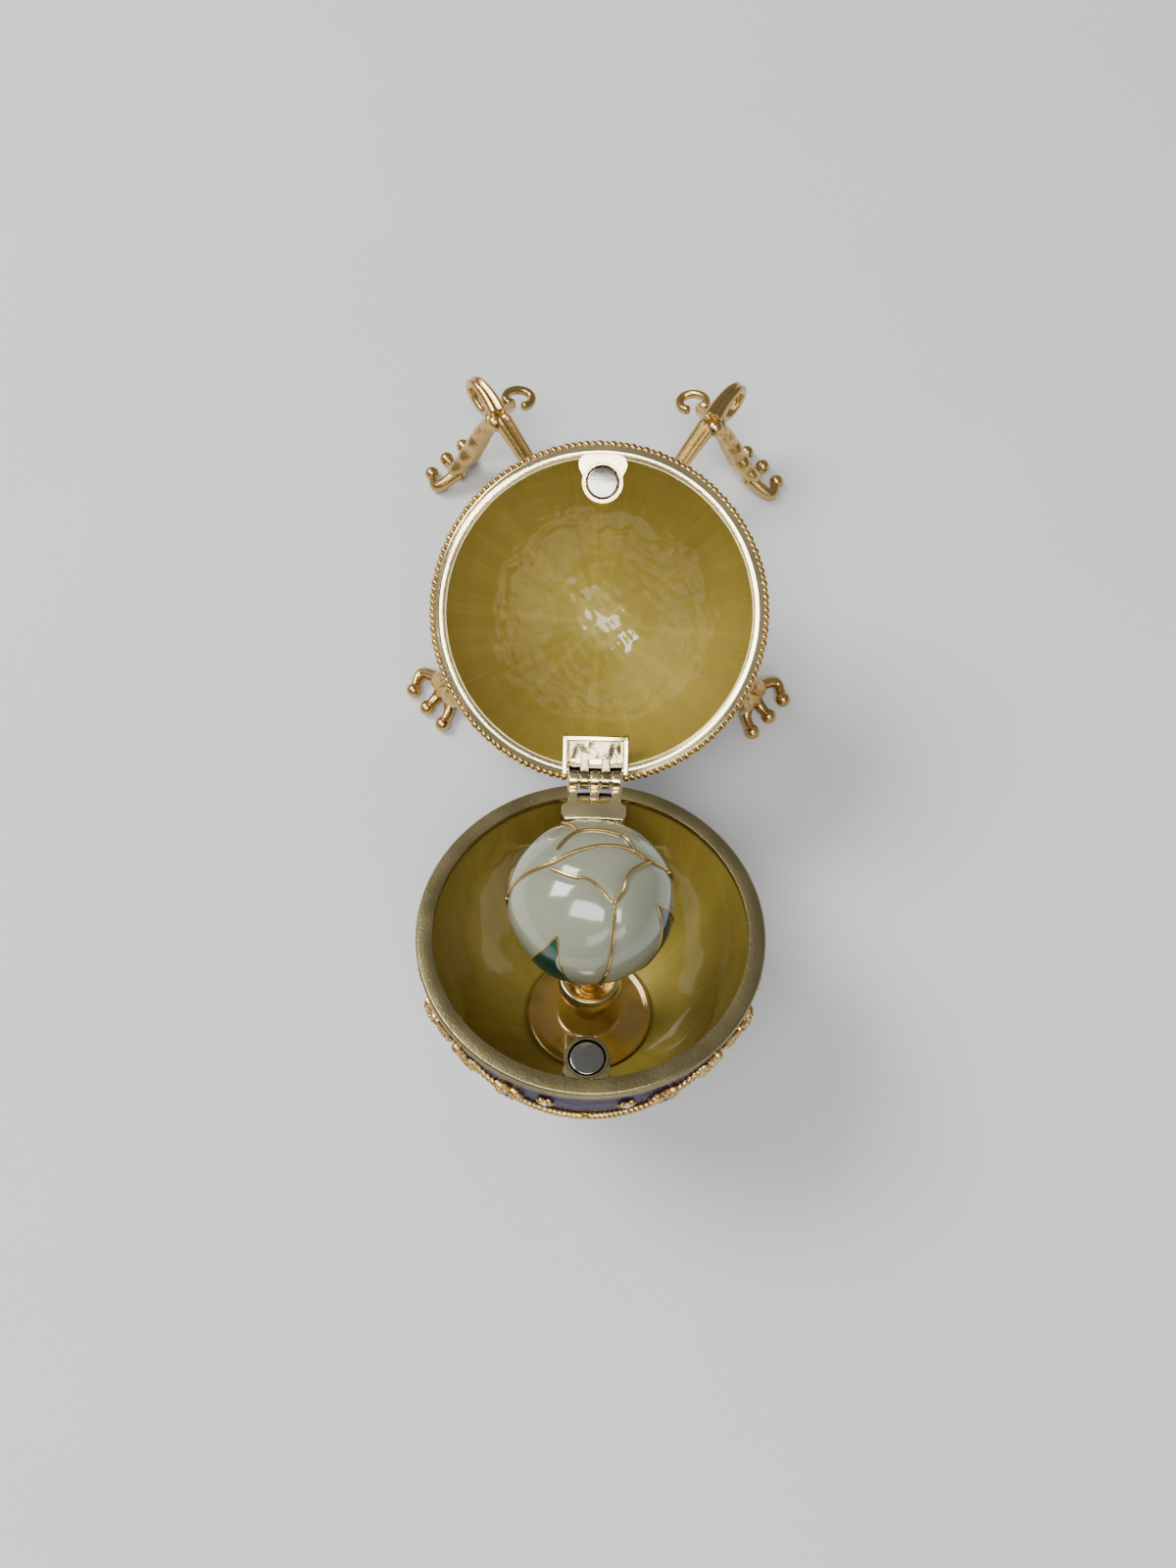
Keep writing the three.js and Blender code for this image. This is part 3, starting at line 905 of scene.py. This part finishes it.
class EGGBOX_OT_hinge(bpy.types.Operator):
    """Both hinge leaves with their barrels, and the pin"""

    bl_idname = "eggbox.hinge"
    bl_label = "Hinge"

    def execute(self, context):
        colours = context.scene.egg_colours
        look = gilt("hinge gold", colours.bright_gold, 0.16, 0.03 * MM, 0.5)
        dark = gilt("hinge plate gold", dimmed(colours.bright_gold, 0.5), 0.14, 0.05 * MM, 0.9)
        for half, plate, knuckles, top, plate_look in (
            (BOWL, self.flared_plate(), (0, 2, 4), -0.5 * MM, look),
            (LID, self.rippled_plate(), (1, 3), -2.1 * MM, dark),
        ):
            parts = [plate] + sum([self.knuckle(i, top) for i in knuckles], [])
            grids = [half.place(part) for part in parts]
            name = f"{half.name}_hinge"
            build(f"{name}_plate", grids, plate_look, half.body, [f"{name}_leaf"])
        pin = BOWL.place(self.barrel(-HINGE_HALF, HINGE_HALF, 0.65 * MM))
        build("hinge_pin_rod", [pin], look, "base", ["hinge_pin"])
        return {"FINISHED"}

    def barrel(self, low, high, radius):
        """A cylinder along X with rounded edges, about the hinge pin."""
        outline = soften([(0, low), (radius, low), (radius, high), (0, high)], 0.18 * MM, closed=False)
        return spin(outline, full_turn(40)) @ np.array([Y, Z, X]) + HINGE_ARM * Y

    def knuckle(self, place, top):
        """One barrel, and the strap that joins it to its plate."""
        pitch = (2 * HINGE_HALF + 0.3 * MM) / KNUCKLES
        low = -HINGE_HALF + place * pitch
        high = low + pitch - 0.3 * MM
        strap = block((low, HINGE_ARM - 3.8 * MM, top - 0.7 * MM), (high, HINGE_ARM - 0.3 * MM, top))
        return [self.barrel(low, high, 1.5 * MM), strap]

    def flared_plate(self):
        """A bulging plate that widens towards the bowl's middle: half width 4.25 to 5.2 mm, with
        rounded far corners and a top that rises by 0.45 (1 - s s) mm."""
        y = np.linspace(19.7 * MM, HINGE_ARM - 3.3 * MM, 22)
        share = (y - y[0]) / (y[-1] - y[0])
        corner = np.sqrt(np.clip(1 - (1 - np.clip(share / 0.3, 0, 1)) ** 2, 0, 1))
        half = (4.25 + 0.95 * (1 - smooth(0.5, 0.95, share))) * MM - 1.3 * MM * (1 - corner)
        s = np.linspace(-1, 1, 25)
        rise = 0.45 * MM * (1 - s**2) * np.sin(np.pi * (0.15 + 0.8 * share))[:, None]
        drop = 0.35 * MM * np.clip(1 - share / 0.12, 0, 1)[:, None] ** 2
        height = -0.55 * MM + rise - drop
        top = np.stack([half[:, None] * s, np.broadcast_to(y[:, None], height.shape), height], -1)
        low = top * (1, 1, 0) - 1.25 * MM * Z
        rows = np.concatenate([top, low[:, ::-1], top[:, :1]], axis=1)
        return loft(rows)

    def rippled_plate(self):
        """A plate whose top is ripples of 0.08 mm, from the pocket's end to the straps."""
        half, start, end = 4.25 * MM, 21.1 * MM, HINGE_ARM - 3.3 * MM
        x, y = np.meshgrid(np.linspace(-half, half, 60), np.linspace(start, end, 40))
        flat = np.stack([x, y, np.full_like(x, -2.1 * MM)], -1)
        top = flat + 0.08 * MM * waves(flat, 14, 1.1 * MM, 3.5 * MM, 3)[..., None] * Z
        low = flat - 0.7 * MM * Z
        return loft(np.concatenate([top, low[:, ::-1], top[:, :1]], axis=1))


class EGGBOX_OT_garlands(bpy.types.Operator):
    """Laurel garlands, husk drops, rosettes and stones round the outside of both halves"""

    bl_idname = "eggbox.garlands"
    bl_label = "Garlands"

    def execute(self, context):
        sizes, colours = context.scene.egg_sizes, context.scene.egg_colours
        look = gilt("garland gold", colours.gold, 0.24, 0.05 * MM, 0.6)
        blue = crystal("blue stone", colours.sapphire)
        clear = crystal("clear stone", colours.clear)
        middles = np.arange(4) * 90.0
        for half in (BOWL, LID):
            parts = []
            for middle in middles:
                parts += self.swag(half, middle, sizes)
                parts += self.drop(half, middle + 45)
            rosettes = np.concatenate([middles - 26, middles + 26])
            flowers = np.concatenate([middles - 13, middles + 13])
            parts += self.flower(half, rosettes, 0.25 * EGG, 2.3 * MM, 8)
            parts += self.flower(half, flowers, 0.2 * EGG, 1.3 * MM, 5)
            build(f"{half.name}_garlands", [half.place(part) for part in parts], look, half.body)
            for label, turns, down, radius, stone_look in (
                ("blue", rosettes, 0.25 * EGG, sizes.stone_radius, blue),
                ("clear", flowers, 0.2 * EGG, 0.6 * sizes.stone_radius, clear),
            ):
                cut = half.place(self.stones(half, turns, down, radius))
                build(f"{half.name}_{label}_stones", [cut], stone_look, half.body, sharp=20)
        return {"FINISHED"}

    def swag(self, half, middle, sizes):
        """A garland that hangs by 0.3 egg radii, cos(90 t / 41): pairs of leaves that point away
        from its lowest place, with berries along the stem."""
        turn = np.linspace(-41, 41, 200)
        point, out = half.on_wall(middle + turn, (0.14 + 0.3 * np.cos(np.radians(90 * turn / 41))) * EGG)
        along = unit(np.gradient(point, axis=0))
        pick = np.linspace(4, 195, 2 * sizes.leaf_pairs).astype(int)
        full = 0.72 + 0.28 * np.cos(np.radians(90 * turn[pick] / 41))
        lean = math.radians(30)
        away = np.where(turn[pick] < 0, -1.0, 1.0)[:, None]
        side = np.cross(out[pick], along[pick])
        parts = []
        shape = leaf(sizes.leaf_length, 0.29 * sizes.leaf_length, 0.3 * sizes.leaf_length)
        for sign in (-1, 1):
            heading = along[pick] * away * math.cos(lean) + sign * side * math.sin(lean)
            heading = unit(heading + 0.12 * out[pick])
            base = point[pick] - 0.4 * sizes.leaf_length * heading + 0.25 * MM * out[pick]
            parts.append(stamp(shape, base, heading, out[pick], full))
        berries = (point[pick] + 0.62 * MM * out[pick])[:, None, None] + ball((0, 0, 0), 0.38 * MM, 8, 6)
        ends, across = [98, 104], side[[24, 25]]
        tie_shape = leaf(2.8 * MM, 0.5 * MM, 0.9 * MM)
        tie = stamp(tie_shape, point[ends] - 1.4 * MM * across, across, out[ends])
        return parts + [berries, tie]

    def drop(self, half, turn):
        """A row of husks down the wall between two garlands, each of three leaves, under a knob."""
        downs = np.array([0.1, 0.17, 0.25, 0.33, 0.41, 0.48]) * EGG
        size = np.array([0.8, 1.0, 1.0, 0.9, 0.75, 0.6])
        point, out = half.on_wall(turn, downs, 0.25 * MM)
        lower, _ = half.on_wall(turn, downs + 0.5 * MM, 0.25 * MM)
        heading = unit(lower - point)
        side = np.cross(out, heading)
        parts = []
        for lean in (-0.6, 0.0, 0.6):
            way = unit(heading * math.cos(lean) + side * math.sin(lean))
            parts.append(stamp(leaf(2.9 * MM, 0.62 * MM, 0.85 * MM), point, way, out, size))
        knobs = [ball(point[k] + 0.3 * MM * out[k], r) for k, r in ((0, 0.95 * MM), (-1, 0.6 * MM))]
        return parts + knobs

    def flower(self, half, turns, down, radius, petals):
        """Petals round a domed middle, with a ring of small beads about the stone's seat."""
        point, out = half.on_wall(turns, np.full(len(turns), down), 0.3 * MM)
        lower, _ = half.on_wall(turns, np.full(len(turns), down + 0.5 * MM), 0.3 * MM)
        first = unit(lower - point)
        second = np.cross(out, first)
        parts = []
        petal = leaf(1.05 * radius, 0.36 * radius, 0.4 * radius)
        for angle in full_turn(petals)[:-1]:
            way = first * math.cos(angle) + second * math.sin(angle)
            parts.append(stamp(petal, point + 0.1 * radius * way, way, out))
            grain = point + 0.56 * radius * way + 0.3 * radius * out
            parts.append(grain[:, None, None] + ball((0, 0, 0), 0.17 * radius, 8, 6))
        dome = stamp(ball((0, 0, 0), 0.5 * radius, 16, 8), point, first, out)
        return parts + [dome]

    def stones(self, half, turns, down, radius):
        """Eight-sided cut stones: a flat table, a sloping crown and a short girdle."""
        point, out = half.on_wall(turns, np.full(len(turns), down), 0.3 * MM + 0.45 * radius)
        lower, _ = half.on_wall(turns, np.full(len(turns), down + 0.5 * MM), 0.3 * MM + 0.45 * radius)
        outline = [(0, 0.62), (0.55, 0.62), (0.95, 0.25), (1, 0), (0.6, -0.4), (0, -0.5)]
        cut = spin(radius * np.array(outline), full_turn(8))
        return stamp(cut, point, unit(lower - point), out)


class EGGBOX_OT_bud(bpy.types.Operator):
    """The rosebud: white enamel petals, gold wires and green sepals"""

    bl_idname = "eggbox.bud"
    bl_label = "Rosebud"

    centre = 0.25 * EGG
    radius = 0.44 * EGG

    # Gold wires: turn from the front and height above the middle, in degrees, along each petal's edge.
    wires = (
        ((-86, 13), (-89, 40), (-93, 63), (-117, 75), (156, 76), (120, 62), (105, 50), (103, 28)),
        ((-85, 63), (-50, 74), (-6, 77), (18, 70), (28, 60)),
        ((103, 50), (90, 62), (71, 66), (48, 63), (30, 60)),
        ((30, 60), (25, 53), (21, 46), (14, 20), (9, -6), (8, -35)),
        ((-116, 64), (-159, 62), (157, 60), (135, 58), (113, 60)),
        ((-86, 13), (-88, -5), (-80, -30)),
        ((103, 28), (106, 5), (104, -30)),
        ((-160, 60), (-155, 30), (-160, -25)),
    )
    sepals = ((-33, 36), (60, 38), (155, 30), (-112, 22))

    def execute(self, context):
        sizes, colours = context.scene.egg_sizes, context.scene.egg_colours
        gold = gilt("bud wire gold", colours.gold, 0.22)
        wires = [self.wire(points) for points in self.wires]
        self.petals(wires, colours)
        self.sepal_leaves(sizes, colours, gold)
        tubes = [BOWL.place(thread(wire, sizes.wire_radius, 10)) for wire in wires]
        build("bud_wires", tubes, gold, "base")
        return {"FINISHED"}

    def on_bud(self, turn, height, proud=0.0):
        """Points of the bud: a ball that is widest a little above its middle,
        r = cos h (1 + 0.1 cos h sin h), pushed out from its centre by proud."""
        radius = self.radius * np.cos(height) * (1 + 0.1 * np.cos(height) * np.sin(height))
        rise = self.radius * np.sin(height)
        point = np.stack(np.broadcast_arrays(radius * np.sin(turn), -radius * np.cos(turn), rise), -1)
        return point + np.asarray(proud)[..., None] * unit(point) + self.centre * Z

    def wire(self, points):
        """A smooth line over the bud through a few turns and heights."""
        turn, height = np.radians(np.array(points, float)).T
        path = curve_through(self.on_bud(turn, height), 90)
        away = unit(path - self.centre * Z)
        flat = np.arctan2(away[:, 0], -away[:, 1]), np.arcsin(np.clip(away[:, 2], -1, 1))
        return self.on_bud(*flat, 0.02 * MM)

    def petals(self, wires, colours):
        """The white body, sunk by up to 0.22 mm along the wires so that each petal swells."""
        turn, height = np.meshgrid(full_turn(330), np.linspace(-np.pi / 2, np.pi / 2, 240), indexing="ij")
        body = self.on_bud(turn, height)
        nearest = np.full(body.shape[:2], 1.0)
        for wire in wires:
            for point in wire[::2]:
                nearest = np.minimum(nearest, np.linalg.norm(body - point, axis=-1))
        sink = 0.22 * MM * np.exp(-((nearest / (0.9 * MM)) ** 2))
        swell = 0.1 * MM * waves(body, 10, 7 * MM, 16 * MM, 8)
        away = unit(body - self.centre * Z)
        body = body + (swell - sink)[..., None] * away
        body[:, [0, -1]] = body[:1, [0, -1]]
        look = enamel("bud white enamel", colours.white, dimmed(colours.white, 0.86), 60, 0.015 * MM, 0.12)
        build("bud_petals", [BOWL.place(body)], look, "base", ["rosebud"])

    def sepal_leaves(self, sizes, colours, gold):
        """Pointed leaves that rise from under the bud: half width 24 degrees times
        (1 - v)^0.75 (0.9 + 0.3 sin(pi v)), a little proud, with a wire round each."""
        v = np.linspace(0, 1, 40)
        s = np.linspace(-1, 1, 17)[:, None]
        leaves, edges = [], []
        for middle, tip in self.sepals:
            height = np.radians(-68 + (tip + 68) * v)
            half = math.radians(24) * (1 - v) ** 0.75 * (0.9 + 0.3 * np.sin(np.pi * v))
            turn = math.radians(middle) + 0.12 * v + s * half / np.maximum(np.cos(height), 0.4)
            height = height + 0 * s
            top = self.on_bud(turn, height, 0.05 * MM + 0.16 * MM * (1 - s**2) * (1 - v) ** 0.3)
            low = self.on_bud(turn, height, -0.3 * MM)
            leaves.append(loft(np.concatenate([top, low[::-1], top[:1]]).transpose(1, 0, 2)))
            rim = np.concatenate([top[0], top[-1, ::-1]])
            edges.append(thread(rim, 0.6 * sizes.wire_radius, 8))
        look = enamel("sepal green enamel", colours.green, dimmed(colours.green, 0.5), 200, 0.03 * MM, 0.14)
        build("bud_sepals", [BOWL.place(part) for part in leaves], look, "base")
        build("sepal_wires", [BOWL.place(edge) for edge in edges], gold, "base")


class EGGBOX_OT_bud_base(bpy.types.Operator):
    """The bud's stem, its open gold cup and the amber base on the floor of the bowl"""

    bl_idname = "eggbox.bud_base"
    bl_label = "Bud base"

    def execute(self, context):
        colours = context.scene.egg_colours
        corners = [(0, -0.2), (0.09, -0.21), (0.055, -0.28), (0.05, -0.6), (0.07, -0.725), (0, -0.725)]
        stem = soften(EGG * np.array(corners), 1 * MM, 6, False)
        radius, top, low = 0.186 * EGG, -0.6 * EGG, -0.77 * EGG
        cup = soften(
            [
                (0, low),
                (0.78 * radius, low),
                (0.86 * radius, low + 0.7 * MM),
                (radius, low + 1.5 * MM),
                (1.0 * radius, top - 1.5 * MM),
                (0.9 * radius, top - 1.0 * MM),
                (0.97 * radius, top - 0.4 * MM),
                (0.93 * radius, top),
                (0.78 * radius, top - 0.15 * MM),
                (0.7 * radius, top - 1.2 * MM),
                (0.55 * radius, low + 1.4 * MM),
                (0, low + 1.0 * MM),
            ],
            0.5 * MM,
            5,
            False,
        )
        disc, floor, neck = 0.385 * EGG, -1.105 * EGG, 0.1 * EGG
        base = soften(
            [
                (0, floor - 0.9 * MM),
                (0.75 * disc, floor - 0.5 * MM),
                (0.985 * disc, floor + 0.3 * MM),
                (disc, floor + 0.75 * MM),
                (0.95 * disc, floor + 1.05 * MM),
                (0.86 * disc, floor + 0.55 * MM),
                (0.5 * disc, floor + 0.7 * MM),
                (1.6 * neck, floor + 1.3 * MM),
                (neck, floor + 2.8 * MM),
                (neck, low - 0.3 * MM),
                (0, low - 0.3 * MM),
            ],
            0.5 * MM,
            5,
            False,
        )
        bright = gilt("cup gold", colours.bright_gold, 0.22, 0.01 * MM, 0.15)
        amber = enamel("amber enamel", colours.amber, dimmed(colours.amber, 0.6), 120, 0.02 * MM, 0.16, 0.35)
        plain_gold = gilt("stem gold", colours.gold, 0.25)
        for name, outline, around, look, slot, node in (
            ("bud_stalk", stem, 32, plain_gold, "gold", "bud_stem"),
            ("bud_collar", cup, 80, bright, "gold", "bud_cup"),
            ("bud_dish", base, 96, amber, "amber_enamel", "bud_base"),
        ):
            build(name, [BOWL.place(spin(outline, full_turn(around)))], look, "base", [node])
        return {"FINISHED"}


class EGGBOX_OT_stand(bpy.types.Operator):
    """The loose stand: a centre ring and four scrolled legs on ball toes"""

    bl_idname = "eggbox.stand"
    bl_label = "Stand"

    def execute(self, context):
        sizes, colours = context.scene.egg_sizes, context.scene.egg_colours
        look = gilt("stand gold", colours.gold, 0.23, 0.04 * MM, 0.6)
        section = soften([(0.235, 0.21), (0.305, 0.21), (0.305, 0.29), (0.235, 0.29)], 0.02, 5) * EGG
        build("stand_hoop", [spin(section, full_turn(96)) + STAND], look, "base", ["stand_ring"])
        leg = self.leg(sizes)
        for name, flip in (
            ("rear_left", (-1, 1, 1)),
            ("rear_right", (1, 1, 1)),
            ("front_left", (-1, -1, 1)),
            ("front_right", (1, -1, 1)),
        ):
            parts = [part * flip + STAND for part in leg]
            build(f"leg_{name}", parts, look, "base", [f"stand_leg_{name}"])
        return {"FINISHED"}

    def at(self, places):
        """Places of (radius, turn in degrees, height), in egg radii, as points of the stand."""
        radius, turn, height = np.array(places, float).T
        turn = np.radians(turn)
        return EGG * np.stack([radius * np.cos(turn), radius * np.sin(turn), height], -1)

    def bar(self, places, count, wide, tall, side, *section):
        """A limb along a smooth curve through a few places, with its widths in egg radii."""
        path = curve_through(self.at(places), count)
        return limb(path, EGG * np.array(wide), EGG * np.array(tall), side, *section)

    def large_scroll(self):
        """A spiral that stands along the leg: nine places, each 46 degrees further round and
        0.0125 egg radii nearer its middle."""
        curl = np.radians(118 - 46 * np.arange(9))
        reach = 0.155 - 0.0125 * np.arange(9)
        turn = np.full_like(curl, LEG_TURN)
        return np.stack([1.43 + 1.15 * reach * np.cos(curl), turn, 0.64 + reach * np.sin(curl)], 1)

    def small_scroll(self):
        """A ring that lies nearly flat beside the leg: eight places, 45 degrees apart."""
        curl = np.radians(215 - 45 * np.arange(8))
        out, aside = np.sin(curl), np.cos(curl)
        return np.stack([1.34 + 0.08 * out, 62 + 4.2 * aside, 0.6 - 0.03 * aside], 1)

    def leg(self, sizes):
        """One leg: a grooved stem that rises to a knee, a large scroll and a small one beyond it,
        a leafy shank, and three toes that each end in a ball."""
        lie = math.radians(LEG_TURN)
        across = np.array([-math.sin(lie), math.cos(lie), 0])
        knee = (1.19, 51, 0.75)
        stem = [(0.3, 52, 0.25), (0.62, 52, 0.4), (0.92, 51.7, 0.58), knee]
        large = [knee, *self.large_scroll()]
        small = [knee, *self.small_scroll()]
        large_wide = (0.07, 0.056, 0.048, 0.044, 0.042, 0.036)
        large_tall = (0.06, 0.045, 0.04, 0.036, 0.034, 0.03)
        small_wide = (0.05, 0.034, 0.032, 0.034)
        parts = [
            self.bar(stem, 50, (0.05, 0.05, 0.06, 0.07), (0.05, 0.045, 0.055, 0.065), across, 28, 0.42),
            self.bar(large, 150, large_wide, large_tall, across, 28, 0.4, 0.03),
            self.bar(small, 110, small_wide, small_wide, Z, 18, 0.15, 0.03),
            self.shank(),
        ]
        for turn, bend in zip((34.7, 40.8, 46.9), (31.8, 40, 45)):
            end = (1.583, turn, 0.052)
            toe = [(1.38, 38.5, 0.14), (1.47, bend, 0.065), end]
            parts.append(self.bar(toe, 30, (0.056, 0.045, 0.033), (0.05, 0.042, 0.033), Z, 14, 0.1))
            parts.append(ball(self.at([end])[0], sizes.toe_ball, 24, 14))
        for place, radius in (((1.17, 48.6, 0.72), 0.062 * EGG), (large[-1], 0.045 * EGG)):
            parts.append(ball(self.at([place])[0], radius, 24, 14))
        return parts

    def shank(self):
        """The flat leafy bar from the knee to the toes: its edge swells into five lobes,
        1 + 0.22 |sin(5 pi v)|, and a rib runs down its middle."""
        places = [(1.2, 50, 0.74), (1.3, 47.5, 0.5), (1.37, 42.5, 0.24), (1.45, 38.5, 0.09)]
        path = curve_through(self.at(places), 90)
        v = np.linspace(0, 1, 90)
        lobes = 1 + 0.22 * np.abs(np.sin(5 * np.pi * v))
        wide = np.interp(v, (0, 0.35, 0.7, 1), (0.06, 0.08, 0.098, 0.092)) * lobes * EGG
        tall = np.interp(v, (0, 0.35, 0.7, 1), (0.055, 0.065, 0.07, 0.055)) * (0.9 + 0.1 * lobes) * EGG
        across = np.array([-math.sin(math.radians(45)), math.cos(math.radians(45)), 0.1])
        return limb(path, wide, tall, across, 32, 0.35, 0.05)


class EGGBOX_OT_stage(bpy.types.Operator):
    """Pale table top, soft lights and the camera"""

    bl_idname = "eggbox.stage"
    bl_label = "Stage"

    def execute(self, context):
        self.table_top(context.scene.egg_colours)
        self.lights(context.scene)
        self.camera(context.scene)
        return {"FINISHED"}

    def table_top(self, colours):
        """A wide flat square with a faint mottle."""
        x, y = np.meshgrid(np.linspace(-3, 3, 3), np.linspace(-3, 3, 3), indexing="ij")
        mesh = bpy.data.meshes.new("table_top")
        points = np.stack([x, y, np.zeros_like(x)], -1)
        quads, _ = grid_faces((1, 3, 3), 0)
        mesh.from_pydata(points.reshape(-1, 3).tolist(), [], quads.tolist())
        graph = Graph("table paint")
        mottle = graph.noise(graph.place(), 14, 3)
        tone = graph.mix(mottle, shade(colours.floor, 0.96), shade(colours.floor, 1.04))
        mesh.materials.append(graph.finish(Base_Color=tone, Roughness=0.75, Specular_IOR_Level=0.2))
        top = bpy.data.objects.new("table_top", mesh)
        bpy.context.scene.collection.objects.link(top)

    def lights(self, scene):
        """A large key light from the upper left, a broad panel above that the lid's band
        mirrors, a weaker front panel and an even pale sky."""
        for name, place, aim, size, power in (
            ("key", (-0.7, 0.28, 0.95), (0, 0, 0.02), (0.55, 0.5), 15),
            ("panel", (-0.1, -0.5, 1.16), (0, 0, 0.03), (0.8, 0.46), 13),
            ("front", (0.3, -0.95, 0.6), (0, 0, 0.02), (0.8, 0.3), 2),
        ):
            lamp = bpy.data.lights.new(name, "AREA")
            lamp.shape = "RECTANGLE"
            lamp.size, lamp.size_y = size
            lamp.energy = power
            light = bpy.data.objects.new(name, lamp)
            light.location = place
            light.rotation_euler = (Vector(aim) - Vector(place)).to_track_quat("-Z", "Y").to_euler()
            scene.collection.objects.link(light)
        world = bpy.data.worlds.new("sky")
        world.use_nodes = True
        world.node_tree.nodes["Background"].inputs["Color"].default_value = (0.86, 0.88, 0.92, 1)
        world.node_tree.nodes["Background"].inputs["Strength"].default_value = 0.32
        scene.world = world

    def camera(self, scene):
        """Looks down on the open egg from in front of the bowl, 8.2 egg radii above the table."""
        lens = bpy.data.cameras.new("camera")
        lens.lens = 29.1
        lens.sensor_width = 36
        camera = bpy.data.objects.new("camera", lens)
        camera.location = Vector(BOWL.centre) + Vector((0.032, -1.71, 6.755)) * EGG
        camera.rotation_euler = Vector((-0.0097, 0.352, -0.936)).to_track_quat("-Z", "Y").to_euler()
        scene.collection.objects.link(camera)
        scene.camera = camera


OPERATORS = (
    EGGBOX_OT_bowl,
    EGGBOX_OT_lid,
    EGGBOX_OT_magnets,
    EGGBOX_OT_hinge,
    EGGBOX_OT_garlands,
    EGGBOX_OT_bud,
    EGGBOX_OT_bud_base,
    EGGBOX_OT_stand,
    EGGBOX_OT_stage,
)


class EGGBOX_PT_panel(bpy.types.Panel):
    """Sizes, colours and build buttons of the egg box"""

    bl_idname = "EGGBOX_PT_panel"
    bl_label = "Egg Box"
    bl_space_type = "VIEW_3D"
    bl_region_type = "UI"
    bl_category = "Egg Box"

    def draw(self, context):
        for group in (context.scene.egg_sizes, context.scene.egg_colours):
            box = self.layout.box()
            for name in group.__annotations__:
                box.prop(group, name)
        for operator in OPERATORS:
            self.layout.operator(operator.bl_idname)


CLASSES = (EggSizes, EggColours, *OPERATORS, EGGBOX_PT_panel)


def register():
    for cls in CLASSES:
        bpy.utils.register_class(cls)
    bpy.types.Scene.egg_sizes = PointerProperty(type=EggSizes)
    bpy.types.Scene.egg_colours = PointerProperty(type=EggColours)


def unregister():
    del bpy.types.Scene.egg_colours
    del bpy.types.Scene.egg_sizes
    for cls in reversed(CLASSES):
        bpy.utils.unregister_class(cls)


def main():
    register()
    for operator in OPERATORS:
        group, name = operator.bl_idname.split(".")
        getattr(getattr(bpy.ops, group), name)()


if __name__ == "__main__":
    main()
